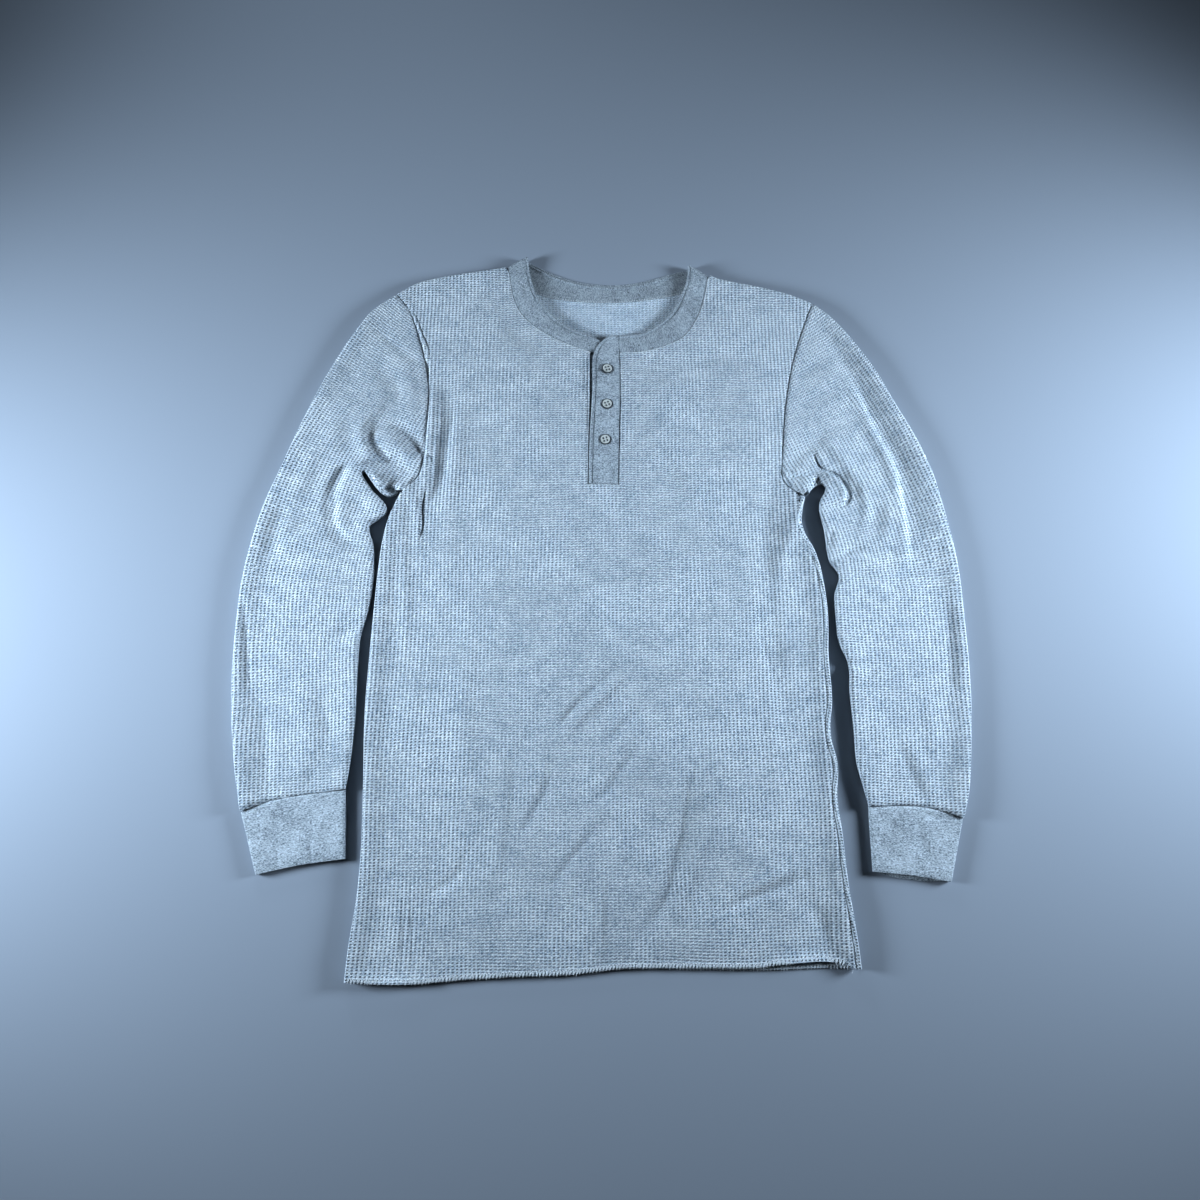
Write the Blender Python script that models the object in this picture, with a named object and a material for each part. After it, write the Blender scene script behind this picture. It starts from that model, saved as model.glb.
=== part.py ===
"""Long-sleeved waffle-knit henley thermal top, lying flat with its front up.

Metres, +Z up, +Y towards the neck. The wearer's left is at +X, and the wearer's right at -X.
Each piece that is cut and sewn on is one solid: front, back, two sleeves, two cuffs, neckband,
the two strips of the placket and three buttons.
"""

import math
from collections import namedtuple

import bpy
from mathutils import Vector
from mathutils.geometry import delaunay_2d_cdt

# ---- driving dimensions -------------------------------------------------------------------

WAFFLE_WALL = 0.0015      # thermal knit
JERSEY_WALL = 0.0012      # doubled jersey of band, cuffs and placket
SEAM_GAP = 0.0003         # between two pieces at a seam
LAY_HEIGHT = 0.0060       # top of a panel where it lies on the one below
LOWEST_TOP = 2 * WAFFLE_WALL + 1.5 * SEAM_GAP    # no trough presses the two panels closer
FOLD_HEIGHT = 0.0100      # top of the cloth where it folds over at a side
FOLD_RADIUS = 0.0030      # how far a folded side reaches past its flat part
FOLD_SPREAD = 0.014       # width over which the cloth rises to its folded side
FOLD_STEPS = 4            # facets round half a fold
WRAP_LAP = 0.0030         # back panel that has rolled over on to the front, at the wearer's left
LAP_START = 0.030         # length over which that lap starts below the underarm
LAP_GAP = 0.0007          # between the lap's edge and the front's, whose facets differ
SHARP_ANGLE = math.radians(40)

PANEL_GRID = 0.021        # mesh of the front
SLEEVE_GRID = 0.021
BACK_GRID = 0.060         # the back is flat, so it needs few faces
STRIP_GRID = 0.030        # mesh of the placket's two flat strips
EDGE_STEP = 0.019         # longest step along a cut or folded edge
LONG_STEP = 0.030         # the same along the placket, and where only distances are taken
EDGE_ROOM = 0.45          # inner points keep this share of the mesh's step from an edge
SNAP = 0.6 * FOLD_RADIUS  # ends of two stretches closer than this are one corner

CUFF_HEIGHT = 0.0066
CUFF_LIP = 0.0040         # under layer that shows past the left cuff's mouth
CUFF_LIP_SPREAD = 0.020   # length of the cuff over which that layer slides out

BAND_STAND = 0.0030       # how much the neckband's free edge stands up
BAND_STEPS = 2            # faces across the neckband
BAND_END_TOP = 0.0056     # top of the band's end, below the placket
BAND_SINK_ROWS = 2.0      # rows over which the band's end sinks below the placket

PLACKET_TOP = 0.0076      # top of the buttonhole strip
UNDER_TOP = 0.0060        # top of the button strip below it
PLACKET_SPREAD = 0.018    # width over which the front rises to it
PLACKET_END_TRIM = 0.0055  # front's neck edge that stops short where the placket tops it
NECK_END_TRIM = 0.0012    # the same where the neck meets the shoulder fold
LAP_END_TRIM = 0.008      # front's side that stops short at the wearer's left underarm
ARMHOLE_END_TRIM = 0.010  # its armhole, at the same place
BUTTON_RADIUS = 0.0057
BUTTON_HEIGHT = 0.0022
BUTTON_FACETS = 20
BUTTON_HOLE_RADIUS = 0.0008
BUTTON_HOLE_OFFSET = 0.0014
BUTTON_HOLE_SIDES = 6

# ---- tables, in plan ----------------------------------------------------------------------

At = namedtuple("At", "x y")
Crease = namedtuple("Crease", "x0 y0 x1 y1 width height")
BandRow = namedtuple("BandRow", "edge_x edge_y seam_x seam_y")
ButtonPlace = namedtuple("ButtonPlace", "x y tilt")
Ring = namedtuple("Ring", "radius height")

# Shoulder fold, from the neckband out to the armhole.
RIGHT_SHOULDER = (At(-0.1040, 0.3600), At(-0.132, 0.355), At(-0.171, 0.348), At(-0.200, 0.340),
                  At(-0.222, 0.326))
LEFT_SHOULDER = (At(0.1210, 0.3495), At(0.132, 0.345), At(0.154, 0.340), At(0.183, 0.333),
                 At(0.209, 0.325), At(0.231, 0.315))

# Armhole seam, from the shoulder down to the underarm.
RIGHT_ARMHOLE = (At(-0.2220, 0.3260), At(-0.2060, 0.3050), At(-0.1950, 0.2760),
                 At(-0.1860, 0.2400), At(-0.1810, 0.2050), At(-0.1825, 0.1540),
                 At(-0.1840, 0.1300), At(-0.1870, 0.1170), At(-0.1960, 0.1060),
                 At(-0.2050, 0.0960))
LEFT_ARMHOLE = (At(0.2310, 0.3150), At(0.2190, 0.2850), At(0.2060, 0.2440), At(0.1970, 0.2010),
                At(0.1925, 0.1650), At(0.1900, 0.1340), At(0.1890, 0.1150), At(0.1940, 0.1045),
                At(0.2020, 0.0970), At(0.2100, 0.0905))

# Folded side of the body, from the underarm down to the hem.
RIGHT_SIDE = (At(-0.2050, 0.0960), At(-0.2095, 0.0860), At(-0.2150, 0.0710), At(-0.2190, 0.0540),
              At(-0.2220, 0.0280), At(-0.2240, -0.0100), At(-0.2260, -0.0700),
              At(-0.2270, -0.1300), At(-0.2240, -0.2000), At(-0.2220, -0.2600),
              At(-0.2240, -0.3050), At(-0.2280, -0.3420), At(-0.2300, -0.3720))
LEFT_SIDE = (At(0.2100, 0.0905), At(0.2070, 0.0780), At(0.2050, 0.0640), At(0.2090, 0.0500),
             At(0.2170, 0.0340), At(0.2230, 0.0080), At(0.2260, -0.0300), At(0.2240, -0.0750),
             At(0.2245, -0.1170), At(0.2210, -0.1500), At(0.2260, -0.1800), At(0.2235, -0.2110),
             At(0.2260, -0.2400), At(0.2290, -0.2900), At(0.2330, -0.3260), At(0.2360, -0.3610))

HEM_FRONT = (At(-0.230, -0.372), At(-0.204, -0.3735), At(-0.166, -0.3735), At(-0.120, -0.370),
             At(-0.073, -0.3675), At(-0.026, -0.366), At(0.020, -0.361), At(0.090, -0.3605),
             At(0.140, -0.3605), At(0.166, -0.357), At(0.202, -0.3545), At(0.230, -0.359))
HEM_BACK = (At(-0.230, -0.372), At(-0.166, -0.3735), At(-0.073, -0.3675), At(0.020, -0.362),
            At(0.150, -0.3625), At(0.205, -0.3605), At(0.236, -0.361))

# Folded edges of the sleeves, from the armhole down to the cuff seam.
RIGHT_SLEEVE_OUTER = (At(-0.222, 0.326), At(-0.246, 0.307), At(-0.264, 0.281), At(-0.279, 0.254),
                      At(-0.297, 0.215), At(-0.316, 0.166), At(-0.332, 0.119), At(-0.344, 0.084),
                      At(-0.353, 0.045), At(-0.359, 0.000), At(-0.360, -0.057), At(-0.357, -0.117),
                      At(-0.349, -0.172), At(-0.338, -0.223))
RIGHT_SLEEVE_INNER = (At(-0.2080, 0.0970), At(-0.2135, 0.0925), At(-0.2210, 0.0930),
                      At(-0.2285, 0.0995), At(-0.2360, 0.1090), At(-0.2435, 0.1195),
                      At(-0.2460, 0.1175), At(-0.2395, 0.1070), At(-0.2315, 0.0960),
                      At(-0.2240, 0.0885), At(-0.2180, 0.0800), At(-0.2190, 0.0735),
                      At(-0.2270, 0.0670), At(-0.2350, 0.0600), At(-0.2290, 0.0380),
                      At(-0.2270, 0.0050), At(-0.2300, -0.0270), At(-0.2360, -0.0530),
                      At(-0.2370, -0.0810), At(-0.2360, -0.1350), At(-0.2380, -0.1770),
                      At(-0.2410, -0.2020))
LEFT_SLEEVE_OUTER = (At(0.231, 0.315), At(0.250, 0.299), At(0.271, 0.272), At(0.293, 0.236),
                     At(0.311, 0.198), At(0.330, 0.157), At(0.344, 0.117), At(0.352, 0.076),
                     At(0.359, 0.030), At(0.361, -0.026), At(0.360, -0.105), At(0.355, -0.159),
                     At(0.349, -0.201), At(0.341, -0.229))
LEFT_SLEEVE_INNER = (At(0.2130, 0.0920), At(0.2170, 0.0990), At(0.2225, 0.1040),
                     At(0.2285, 0.1060), At(0.2325, 0.1030), At(0.2305, 0.0960),
                     At(0.2260, 0.0880), At(0.2245, 0.0770), At(0.2280, 0.0570),
                     At(0.2310, 0.0240), At(0.2400, 0.0080), At(0.2340, -0.0120),
                     At(0.2335, -0.0300), At(0.2350, -0.0590), At(0.2430, -0.0820),
                     At(0.2425, -0.1100), At(0.2440, -0.1450), At(0.2445, -0.1770),
                     At(0.2500, -0.2040), At(0.2530, -0.2180))

# Cuffs: the seam to the sleeve and the mouth, from the outer to the inner edge.
RIGHT_CUFF_SEAM = (At(-0.338, -0.223), At(-0.326, -0.218), At(-0.309, -0.212), At(-0.281, -0.207),
                   At(-0.241, -0.202))
RIGHT_CUFF_MOUTH = (At(-0.319, -0.280), At(-0.303, -0.276), At(-0.275, -0.2705), At(-0.237, -0.2655))
LEFT_CUFF_SEAM = (At(0.341, -0.229), At(0.322, -0.222), At(0.303, -0.218), At(0.284, -0.217),
                  At(0.253, -0.218))
LEFT_CUFF_MOUTH = (At(0.325, -0.287), At(0.307, -0.284), At(0.284, -0.277), At(0.253, -0.276))

# Neckband, across from its free edge to its seam. The front rows run from the placket to the
# shoulder, and the back row from the wearer's right shoulder to the left one.
BAND_RIGHT_FRONT = (BandRow(0.006, 0.2690, -0.0060, 0.2560), BandRow(-0.017, 0.279, -0.028, 0.265),
                    BandRow(-0.034, 0.287, -0.049, 0.275), BandRow(-0.050, 0.300, -0.069, 0.288),
                    BandRow(-0.064, 0.316, -0.085, 0.304), BandRow(-0.072, 0.333, -0.094, 0.323),
                    BandRow(-0.077, 0.353, -0.098, 0.343), BandRow(-0.0795, 0.371, -0.1005, 0.3575))
BAND_BACK = (BandRow(-0.0795, 0.371, -0.1005, 0.3575), BandRow(-0.066, 0.3635, -0.085, 0.339),
             BandRow(-0.048, 0.3545, -0.059, 0.3275), BandRow(-0.027, 0.347, -0.033, 0.3225),
             BandRow(-0.003, 0.343, -0.005, 0.3205), BandRow(0.022, 0.3425, 0.023, 0.3205),
             BandRow(0.045, 0.346, 0.050, 0.3235), BandRow(0.066, 0.352, 0.076, 0.328),
             BandRow(0.084, 0.358, 0.100, 0.336), BandRow(0.0965, 0.3605, 0.1175, 0.3465))
BAND_LEFT_FRONT = (BandRow(0.0207, 0.2765, 0.0207, 0.257), BandRow(0.040, 0.2785, 0.047, 0.2595),
                   BandRow(0.057, 0.286, 0.070, 0.2665), BandRow(0.072, 0.298, 0.090, 0.277),
                   BandRow(0.083, 0.313, 0.105, 0.299), BandRow(0.091, 0.332, 0.1125, 0.320),
                   BandRow(0.0955, 0.347, 0.1155, 0.334), BandRow(0.0965, 0.3605, 0.1175, 0.3465))

# Placket: the window cut in the front, and the outlines of the two strips that fill it.
WINDOW_LEFT = (At(0.0207, 0.2565), At(0.0213, 0.215), At(0.0200, 0.160), At(0.0190, 0.1060))
WINDOW_RIGHT = (At(-0.0128, 0.1060), At(-0.0120, 0.150), At(-0.0112, 0.205), At(-0.0110, 0.2570))
OVER_STRIP = (At(0.0187, 0.1063), At(0.0197, 0.160), At(0.0210, 0.215), At(0.0204, 0.2565),
              At(0.0204, 0.2762), At(0.0100, 0.2758), At(0.0020, 0.2705), At(-0.0040, 0.262),
              At(-0.0078, 0.248), At(-0.0080, 0.215), At(-0.0108, 0.160), At(-0.0118, 0.1063))
UNDER_STRIP = (At(0.0150, 0.1070), At(0.0160, 0.160), At(0.0170, 0.215), At(0.0168, 0.2450),
               At(-0.0060, 0.2540), At(-0.0100, 0.2548), At(-0.0100, 0.205), At(-0.0108, 0.150),
               At(-0.0114, 0.1070))
BUTTONS = (ButtonPlace(0.0078, 0.2370, math.radians(11)), ButtonPlace(0.0075, 0.1963, 0.0),
           ButtonPlace(0.0055, 0.1556, 0.0))
# Half section of a button with a raised rim, as shares of its radius and its height.
BUTTON_SECTION = (Ring(0.82, 0.0), Ring(1.0, 0.28), Ring(1.0, 0.72), Ring(0.93, 1.0), Ring(0.78, 1.0),
                  Ring(0.66, 0.68))

# Largest folds of the top layer: a soft ridge or trough from one end to the other.
CREASES = (
    # wearer's right armpit: a bunch of cloth, the ditches beside it, and the pleat down the side
    Crease(-0.230, 0.163, -0.194, 0.130, 0.010, 0.0050),
    Crease(-0.240, 0.164, -0.228, 0.138, 0.008, -0.0034),
    Crease(-0.220, 0.177, -0.191, 0.148, 0.006, -0.0026),
    Crease(-0.254, 0.123, -0.268, 0.086, 0.008, 0.0030),
    Crease(-0.264, 0.126, -0.279, 0.084, 0.007, -0.0030),
    Crease(-0.256, 0.090, -0.262, 0.058, 0.010, -0.0034),
    Crease(-0.240, 0.088, -0.219, 0.076, 0.009, 0.0026),
    Crease(-0.204, 0.060, -0.202, -0.050, 0.009, 0.0016),
    Crease(-0.184, 0.104, -0.184, 0.048, 0.008, -0.0014),
    Crease(-0.163, 0.175, -0.163, 0.082, 0.010, -0.0024),
    # wearer's right sleeve
    Crease(-0.238, 0.240, -0.226, 0.180, 0.010, -0.0026),
    Crease(-0.212, 0.244, -0.196, 0.172, 0.012, 0.0022),
    Crease(-0.298, 0.142, -0.318, 0.086, 0.011, 0.0022),
    Crease(-0.330, 0.076, -0.337, 0.040, 0.008, -0.0028),
    Crease(-0.320, 0.040, -0.284, 0.050, 0.009, 0.0016),
    Crease(-0.236, -0.044, -0.260, -0.050, 0.009, -0.0022),
    # wearer's left armpit: the slit behind the curled flap, and the flap
    Crease(0.238, 0.117, 0.252, 0.095, 0.006, -0.0044),
    Crease(0.256, 0.126, 0.272, 0.094, 0.010, 0.0026),
    Crease(0.238, 0.096, 0.240, 0.060, 0.009, 0.0022),
    Crease(0.240, 0.150, 0.264, 0.110, 0.009, 0.0022),
    Crease(0.188, 0.140, 0.166, 0.000, 0.010, -0.0026),
    Crease(0.202, 0.076, 0.182, 0.014, 0.008, 0.0022),
    # wearer's left sleeve: the long trough inside its outer fold, and the elbow
    Crease(0.256, 0.258, 0.311, 0.132, 0.010, -0.0040),
    Crease(0.315, 0.128, 0.318, 0.020, 0.010, -0.0040),
    Crease(0.282, 0.104, 0.276, 0.054, 0.008, -0.0024),
    Crease(0.242, 0.024, 0.272, 0.027, 0.007, 0.0022),
    Crease(0.260, 0.006, 0.306, 0.015, 0.007, -0.0020),
    Crease(0.286, -0.158, 0.304, -0.208, 0.008, -0.0018),
    # hem of the front, lifted at both ends
    Crease(0.163, -0.356, 0.206, -0.355, 0.012, 0.0030),
    Crease(0.180, -0.300, 0.206, -0.330, 0.010, -0.0018),
    Crease(-0.224, -0.370, -0.153, -0.371, 0.012, 0.0026),
    # soft folds of the chest and low on the front
    Crease(-0.110, 0.320, -0.060, 0.255, 0.010, -0.0018),
    Crease(0.060, 0.243, 0.180, 0.261, 0.010, -0.0018),
    Crease(0.045, 0.212, 0.148, 0.229, 0.013, 0.0014),
    Crease(0.014, -0.086, -0.038, -0.132, 0.009, -0.0016),
    Crease(0.132, -0.304, 0.192, -0.284, 0.009, -0.0016),
    Crease(0.090, -0.156, 0.052, -0.238, 0.012, -0.0014),
    Crease(-0.128, -0.058, -0.124, -0.210, 0.013, 0.0012),
)

COLOURS = {
    "waffle": (0.46, 0.52, 0.60, 1.0),
    "jersey": (0.42, 0.48, 0.56, 1.0),
    "button": (0.62, 0.64, 0.62, 1.0),
}


# ---- lines in plan ------------------------------------------------------------------------

def smooth(points, step=EDGE_STEP):
    """A rounded line through the points, no two of its own points further apart than step."""
    line = [Vector(p[:2]) for p in points]
    before = [2 * line[0] - line[1]] + line[:-1]
    after = line[1:] + [2 * line[-1] - line[-2]]
    out = [line[0]]
    for i in range(len(line) - 1):
        start, end = line[i], line[i + 1]
        length = (end - start).length
        reach_in = (after[i] - before[i]).normalized() * length
        reach_out = (after[i + 1] - before[i + 1]).normalized() * length
        count = max(1, math.ceil(length / step))
        for k in range(1, count + 1):
            t = k / count
            out.append(start * (2 * t**3 - 3 * t**2 + 1) + reach_in * (t**3 - 2 * t**2 + t)
                       + end * (3 * t**2 - 2 * t**3) + reach_out * (t**3 - t**2))
    return out


def tangents(line):
    last = len(line) - 1
    return [(line[min(i + 1, last)] - line[max(i - 1, 0)]).normalized() for i in range(last + 1)]


def beside(line, distance):
    """The line moved to its left by a distance, seen along its way from above."""
    return [p + Vector((-t.y, t.x)) * distance for p, t in zip(line, tangents(line))]


def trim(line, start=0.0, end=0.0):
    """The line cut back along its own length at its start and at its end."""
    for _ in range(2):
        line = list(reversed(line))
        start, end = end, start
        rest = start
        while rest > 0 and len(line) > 2 and (line[1] - line[0]).length <= rest:
            rest -= (line[1] - line[0]).length
            line.pop(0)
        if rest > 0:
            line[0] = line[0] + (line[1] - line[0]).normalized() * rest
    return line


def to_segment(x, y, x0, y0, x1, y1):
    """Distance from a point to a segment."""
    dx, dy = x1 - x0, y1 - y0
    t = ((x - x0) * dx + (y - y0) * dy) / (dx * dx + dy * dy)
    t = min(1.0, max(0.0, t))
    return math.hypot(x - x0 - t * dx, y - y0 - t * dy)


def to_line(x, y, line):
    return min(to_segment(x, y, *a, *b) for a, b in zip(line, line[1:]))


# ---- height of the top layer --------------------------------------------------------------

FOLD_LINES = [smooth(table, LONG_STEP) for table in (
    RIGHT_SHOULDER, RIGHT_SLEEVE_OUTER, RIGHT_SLEEVE_INNER, RIGHT_SIDE,
    LEFT_SHOULDER, LEFT_SLEEVE_OUTER, LEFT_SLEEVE_INNER, LEFT_SIDE)]
PLACKET_TOP_END = At(0.004, 0.262)
PLACKET_LOW_END = At(0.004, 0.112)
PLACKET_HALF = 0.017


def bell(distance, spread):
    return math.exp(-(distance / spread) ** 2)


def top_height(x, y):
    """Height of the outer face of the cloth that lies on top at a place in plan."""
    inside = min(to_line(x, y, line) for line in FOLD_LINES) - FOLD_RADIUS
    height = LAY_HEIGHT + (FOLD_HEIGHT - LAY_HEIGHT) * bell(max(0.0, inside), FOLD_SPREAD)
    beside_placket = to_segment(x, y, *PLACKET_TOP_END, *PLACKET_LOW_END) - PLACKET_HALF
    height += (PLACKET_TOP - LAY_HEIGHT) * bell(max(0.0, beside_placket), PLACKET_SPREAD)
    for c in CREASES:
        distance = to_segment(x, y, c.x0, c.y0, c.x1, c.y1)
        if distance < 3 * c.width:
            height += c.height * bell(distance, c.width)
    return max(height, LOWEST_TOP)


# ---- cloth --------------------------------------------------------------------------------

def material(name):
    made = bpy.data.materials.get(name)
    if made is None:
        made = bpy.data.materials.new(name)
        made.use_nodes = True
        shader = made.node_tree.nodes["Principled BSDF"]
        shader.inputs["Base Color"].default_value = COLOURS[name]
        shader.inputs["Roughness"].default_value = 0.35 if name == "button" else 0.9
        shader.inputs["Metallic"].default_value = 0.0
    return made


def add_object(name, verts, faces, finish):
    mesh = bpy.data.meshes.new(name)
    mesh.from_pydata([tuple(v) for v in verts], [], faces)
    mesh.materials.append(material(finish))
    mesh.update()
    piece = bpy.data.objects.new(name, mesh)
    bpy.context.scene.collection.objects.link(piece)
    return piece


class Cloth:
    """Outer face of a wall of cloth: its points, the way each faces where that is known, its faces."""

    def __init__(self):
        self.points = []
        self.facing = []
        self.faces = []

    def add(self, points, facing=None):
        first = len(self.points)
        self.points += points
        self.facing += facing or [None] * len(points)
        return list(range(first, first + len(points)))

    def add_strip(self, previous, current):
        for k in range(len(current) - 1):
            self.faces.append((previous[k + 1], previous[k], current[k], current[k + 1]))

    def normals(self):
        summed = [Vector() for _ in self.points]
        for face in self.faces:
            corner = self.points[face[0]]
            turn = Vector()
            for i, j in zip(face[1:], face[2:]):
                turn += (self.points[i] - corner).cross(self.points[j] - corner)
            for i in face:
                summed[i] += turn
        return [known or total.normalized() for known, total in zip(self.facing, summed)]

    def make(self, name, finish, wall):
        """The closed solid between the outer face and the one a wall's thickness inside it."""
        count = len(self.points)
        inner = [p - n * wall for p, n in zip(self.points, self.normals())]
        faces = list(self.faces)
        faces += [tuple(count + i for i in reversed(face)) for face in self.faces]
        edges = {}
        for face in self.faces:
            for i, j in zip(face, face[1:] + face[:1]):
                edges[(i, j)] = True
        for i, j in edges:
            if (j, i) not in edges:
                faces.append((j, i, count + i, count + j))
        piece = add_object(name, self.points + inner, faces, finish)
        piece.data.shade_smooth()
        piece.data.set_sharp_from_angle(angle=SHARP_ANGLE)
        return piece


def crossing(a, b, c, d):
    """How far along a-b and c-d the two segments cross, or None."""
    r, s, w = b - a, d - c, c - a
    turn = r.x * s.y - r.y * s.x
    if abs(turn) < 1e-12:
        return None
    t = (w.x * s.y - w.y * s.x) / turn
    u = (w.x * r.y - w.y * r.x) / turn
    return (t, u) if 0 <= t <= 1 and 0 <= u <= 1 else None


def meet(first, then):
    """Join the end of one stretch to the start of the next: cut back at a crossing, or snapped.

    A stretch is a list of pairs: the place of the flat edge, and that of the fold's rim.
    """
    for p in range(len(first) - 2, max(-1, len(first) - 7), -1):
        for q in range(min(5, len(then) - 1)):
            found = crossing(first[p][0], first[p + 1][0], then[q][0], then[q + 1][0])
            if found:
                t, u = found
                end = [a.lerp(b, t) for a, b in zip(first[p], first[p + 1])]
                start = [a.lerp(b, u) for a, b in zip(then[q], then[q + 1])]
                first[p + 1:] = [end]
                then[:q + 1] = [[end[0], start[1]]]
                return
    if (first[-1][0] - then[0][0]).length < SNAP:
        then[0][0] = first[-1][0]


class Sheet:
    """Flat region in plan, cut to an outline, that can be raised and rolled over at its folds."""

    def __init__(self, stretches, grid):
        """Each stretch is (kind, line), in order round the region, with the region on its left."""
        self.outline = []
        self.folds = []
        laid = []
        for i, (kind, line) in enumerate(stretches):
            before = stretches[i - 1][0]
            after = stretches[(i + 1) % len(stretches)][0]
            if kind == "fold":
                laid.append([list(pair) for pair in zip(beside(line, FOLD_RADIUS), line)])
            else:
                cut = trim(line, FOLD_RADIUS if before == "fold" else 0.0,
                           FOLD_RADIUS if after == "fold" else 0.0)
                laid.append([[p, p] for p in cut])
        for i in range(len(laid)):
            meet(laid[i], laid[(i + 1) % len(laid)])
        self.cut = set()
        for (kind, _), pairs in zip(stretches, laid):
            places = [self.place(p) for p, _ in pairs]
            if kind == "fold":
                self.folds.append([(i, rim) for i, (_, rim) in zip(places, pairs)])
            else:
                self.cut.update(places)
        self.fill(grid)

    def place(self, point):
        for i in (len(self.outline) - 1, 0):
            if self.outline and (self.outline[i] - point).length < SEAM_GAP / 3:
                return i
        self.outline.append(point)
        return len(self.outline) - 1

    def fill(self, grid):
        """Triangles over the outline, with inner points on a square grid."""
        points = [Vector(p) for p in self.outline]
        border = points + points[:1]
        across = [p.x for p in points]
        along = [p.y for p in points]
        columns = math.ceil((max(across) - min(across)) / grid)
        rows = math.ceil((max(along) - min(along)) / grid)
        for r in range(1, rows):
            for c in range(1, columns):
                x = min(across) + grid * (c + 0.5 * (r % 2) - 0.25)
                y = min(along) + grid * r
                if to_line(x, y, border) > EDGE_ROOM * grid:
                    points.append(Vector((x, y)))
        edge_count = len(self.outline)
        loop = list(range(edge_count))
        flat, _, faces, sources, _, _ = delaunay_2d_cdt(points, [], [loop], 1, 1e-6)
        ranked = sorted({i for face in faces for i in face}, key=lambda i: min(sources[i]))
        new = {old: k for k, old in enumerate(ranked)}
        self.points = [flat[i] for i in ranked]
        self.faces = [tuple(new[i] for i in face) for face in faces]

    def raised(self, height):
        return [Vector((p.x, p.y, height(p.x, p.y))) for p in self.points]

    def facing(self):
        """Straight up along the cut edges, so that two pieces meet upright at a seam."""
        return [Vector((0, 0, 1)) if i in self.cut else None for i in range(len(self.points))]


def roll(cloth, laid, fold, height, start, stop, lap=0.0):
    """Carry a sheet's edge round a fold, from one angle to another: 0 is its top, pi its underside.

    A lap then carries it on, flat, back over the sheet, from nothing at the underarm to its full
    width. Returns the last row of points.
    """
    previous = [laid[i] for i, _ in fold]
    rims = [rim for _, rim in fold]
    inner = [cloth.points[k].xy for k in previous]
    count = max(1, round(FOLD_STEPS * abs(stop - start) / math.pi))
    for k in range(1, count + 1):
        angle = start + (stop - start) * k / count
        points = []
        facing = []
        for flat, rim in zip(inner, rims):
            out = rim - flat
            place = flat + out * math.sin(angle)
            points.append(place.to_3d() + Vector((0, 0, height(rim) / 2 * (1 + math.cos(angle)))))
            facing.append((out.normalized() * math.sin(angle)).to_3d() + Vector((0, 0, math.cos(angle))))
        current = cloth.add(points, facing)
        cloth.add_strip(previous, current)
        previous = current
    if lap:
        top = rims[-1]
        points = []
        for k, flat, rim in zip(previous, inner, rims):
            share = min(1.0, (rim - top).length / LAP_START)
            points.append(cloth.points[k] + (flat - rim).normalized().to_3d() * lap * max(0.1, share))
        current = cloth.add(points, [Vector((0, 0, 1))] * len(points))
        cloth.add_strip(previous, current)
    return previous


def fold_height(rim):
    return FOLD_HEIGHT


def ground(x, y):
    return 0.0


# ---- body ---------------------------------------------------------------------------------

def band_line(rows, which):
    """The neckband's free edge or its seam, as a rounded line."""
    if which == "edge":
        return smooth([At(r.edge_x, r.edge_y) for r in rows])
    return smooth([At(r.seam_x, r.seam_y) for r in rows])


def lines_of_body():
    """Seams and folds that the panels share, each running clockwise seen from above."""
    return {
        "right_shoulder": smooth(RIGHT_SHOULDER),
        "right_armhole": smooth(RIGHT_ARMHOLE),
        "right_side": smooth(RIGHT_SIDE),
        "left_shoulder": smooth(LEFT_SHOULDER),
        "left_armhole": smooth(LEFT_ARMHOLE),
        "left_side": smooth(LEFT_SIDE),
    }


def build_front(lines):
    right_neck = trim(beside(band_line(BAND_RIGHT_FRONT, "seam"), SEAM_GAP),
                      PLACKET_END_TRIM, NECK_END_TRIM)
    left_neck = beside(list(reversed(band_line(BAND_LEFT_FRONT, "seam"))), SEAM_GAP)
    side_inset = FOLD_RADIUS + WRAP_LAP + LAP_GAP
    left_side = trim(beside(list(reversed(lines["left_side"])), side_inset), end=LAP_END_TRIM)
    stretches = [
        ("cut", trim(smooth(HEM_FRONT), end=side_inset)),
        ("cut", left_side),
        ("cut", trim(list(reversed(lines["left_armhole"])), start=ARMHOLE_END_TRIM)),
        ("fold", list(reversed(lines["left_shoulder"]))),
        ("cut", left_neck),
        ("cut", smooth(WINDOW_LEFT)),
        ("cut", smooth(WINDOW_RIGHT)),
        ("cut", right_neck),
        ("fold", lines["right_shoulder"]),
        ("cut", lines["right_armhole"]),
        ("fold", lines["right_side"]),
    ]
    sheet = Sheet(stretches, PANEL_GRID)
    cloth = Cloth()
    laid = cloth.add(sheet.raised(top_height), sheet.facing())
    cloth.faces += sheet.faces
    for fold in sheet.folds:
        roll(cloth, laid, fold, fold_height, 0.0, math.pi / 2 - SEAM_GAP / FOLD_HEIGHT)
    return cloth.make("front", "waffle", WAFFLE_WALL)


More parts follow.
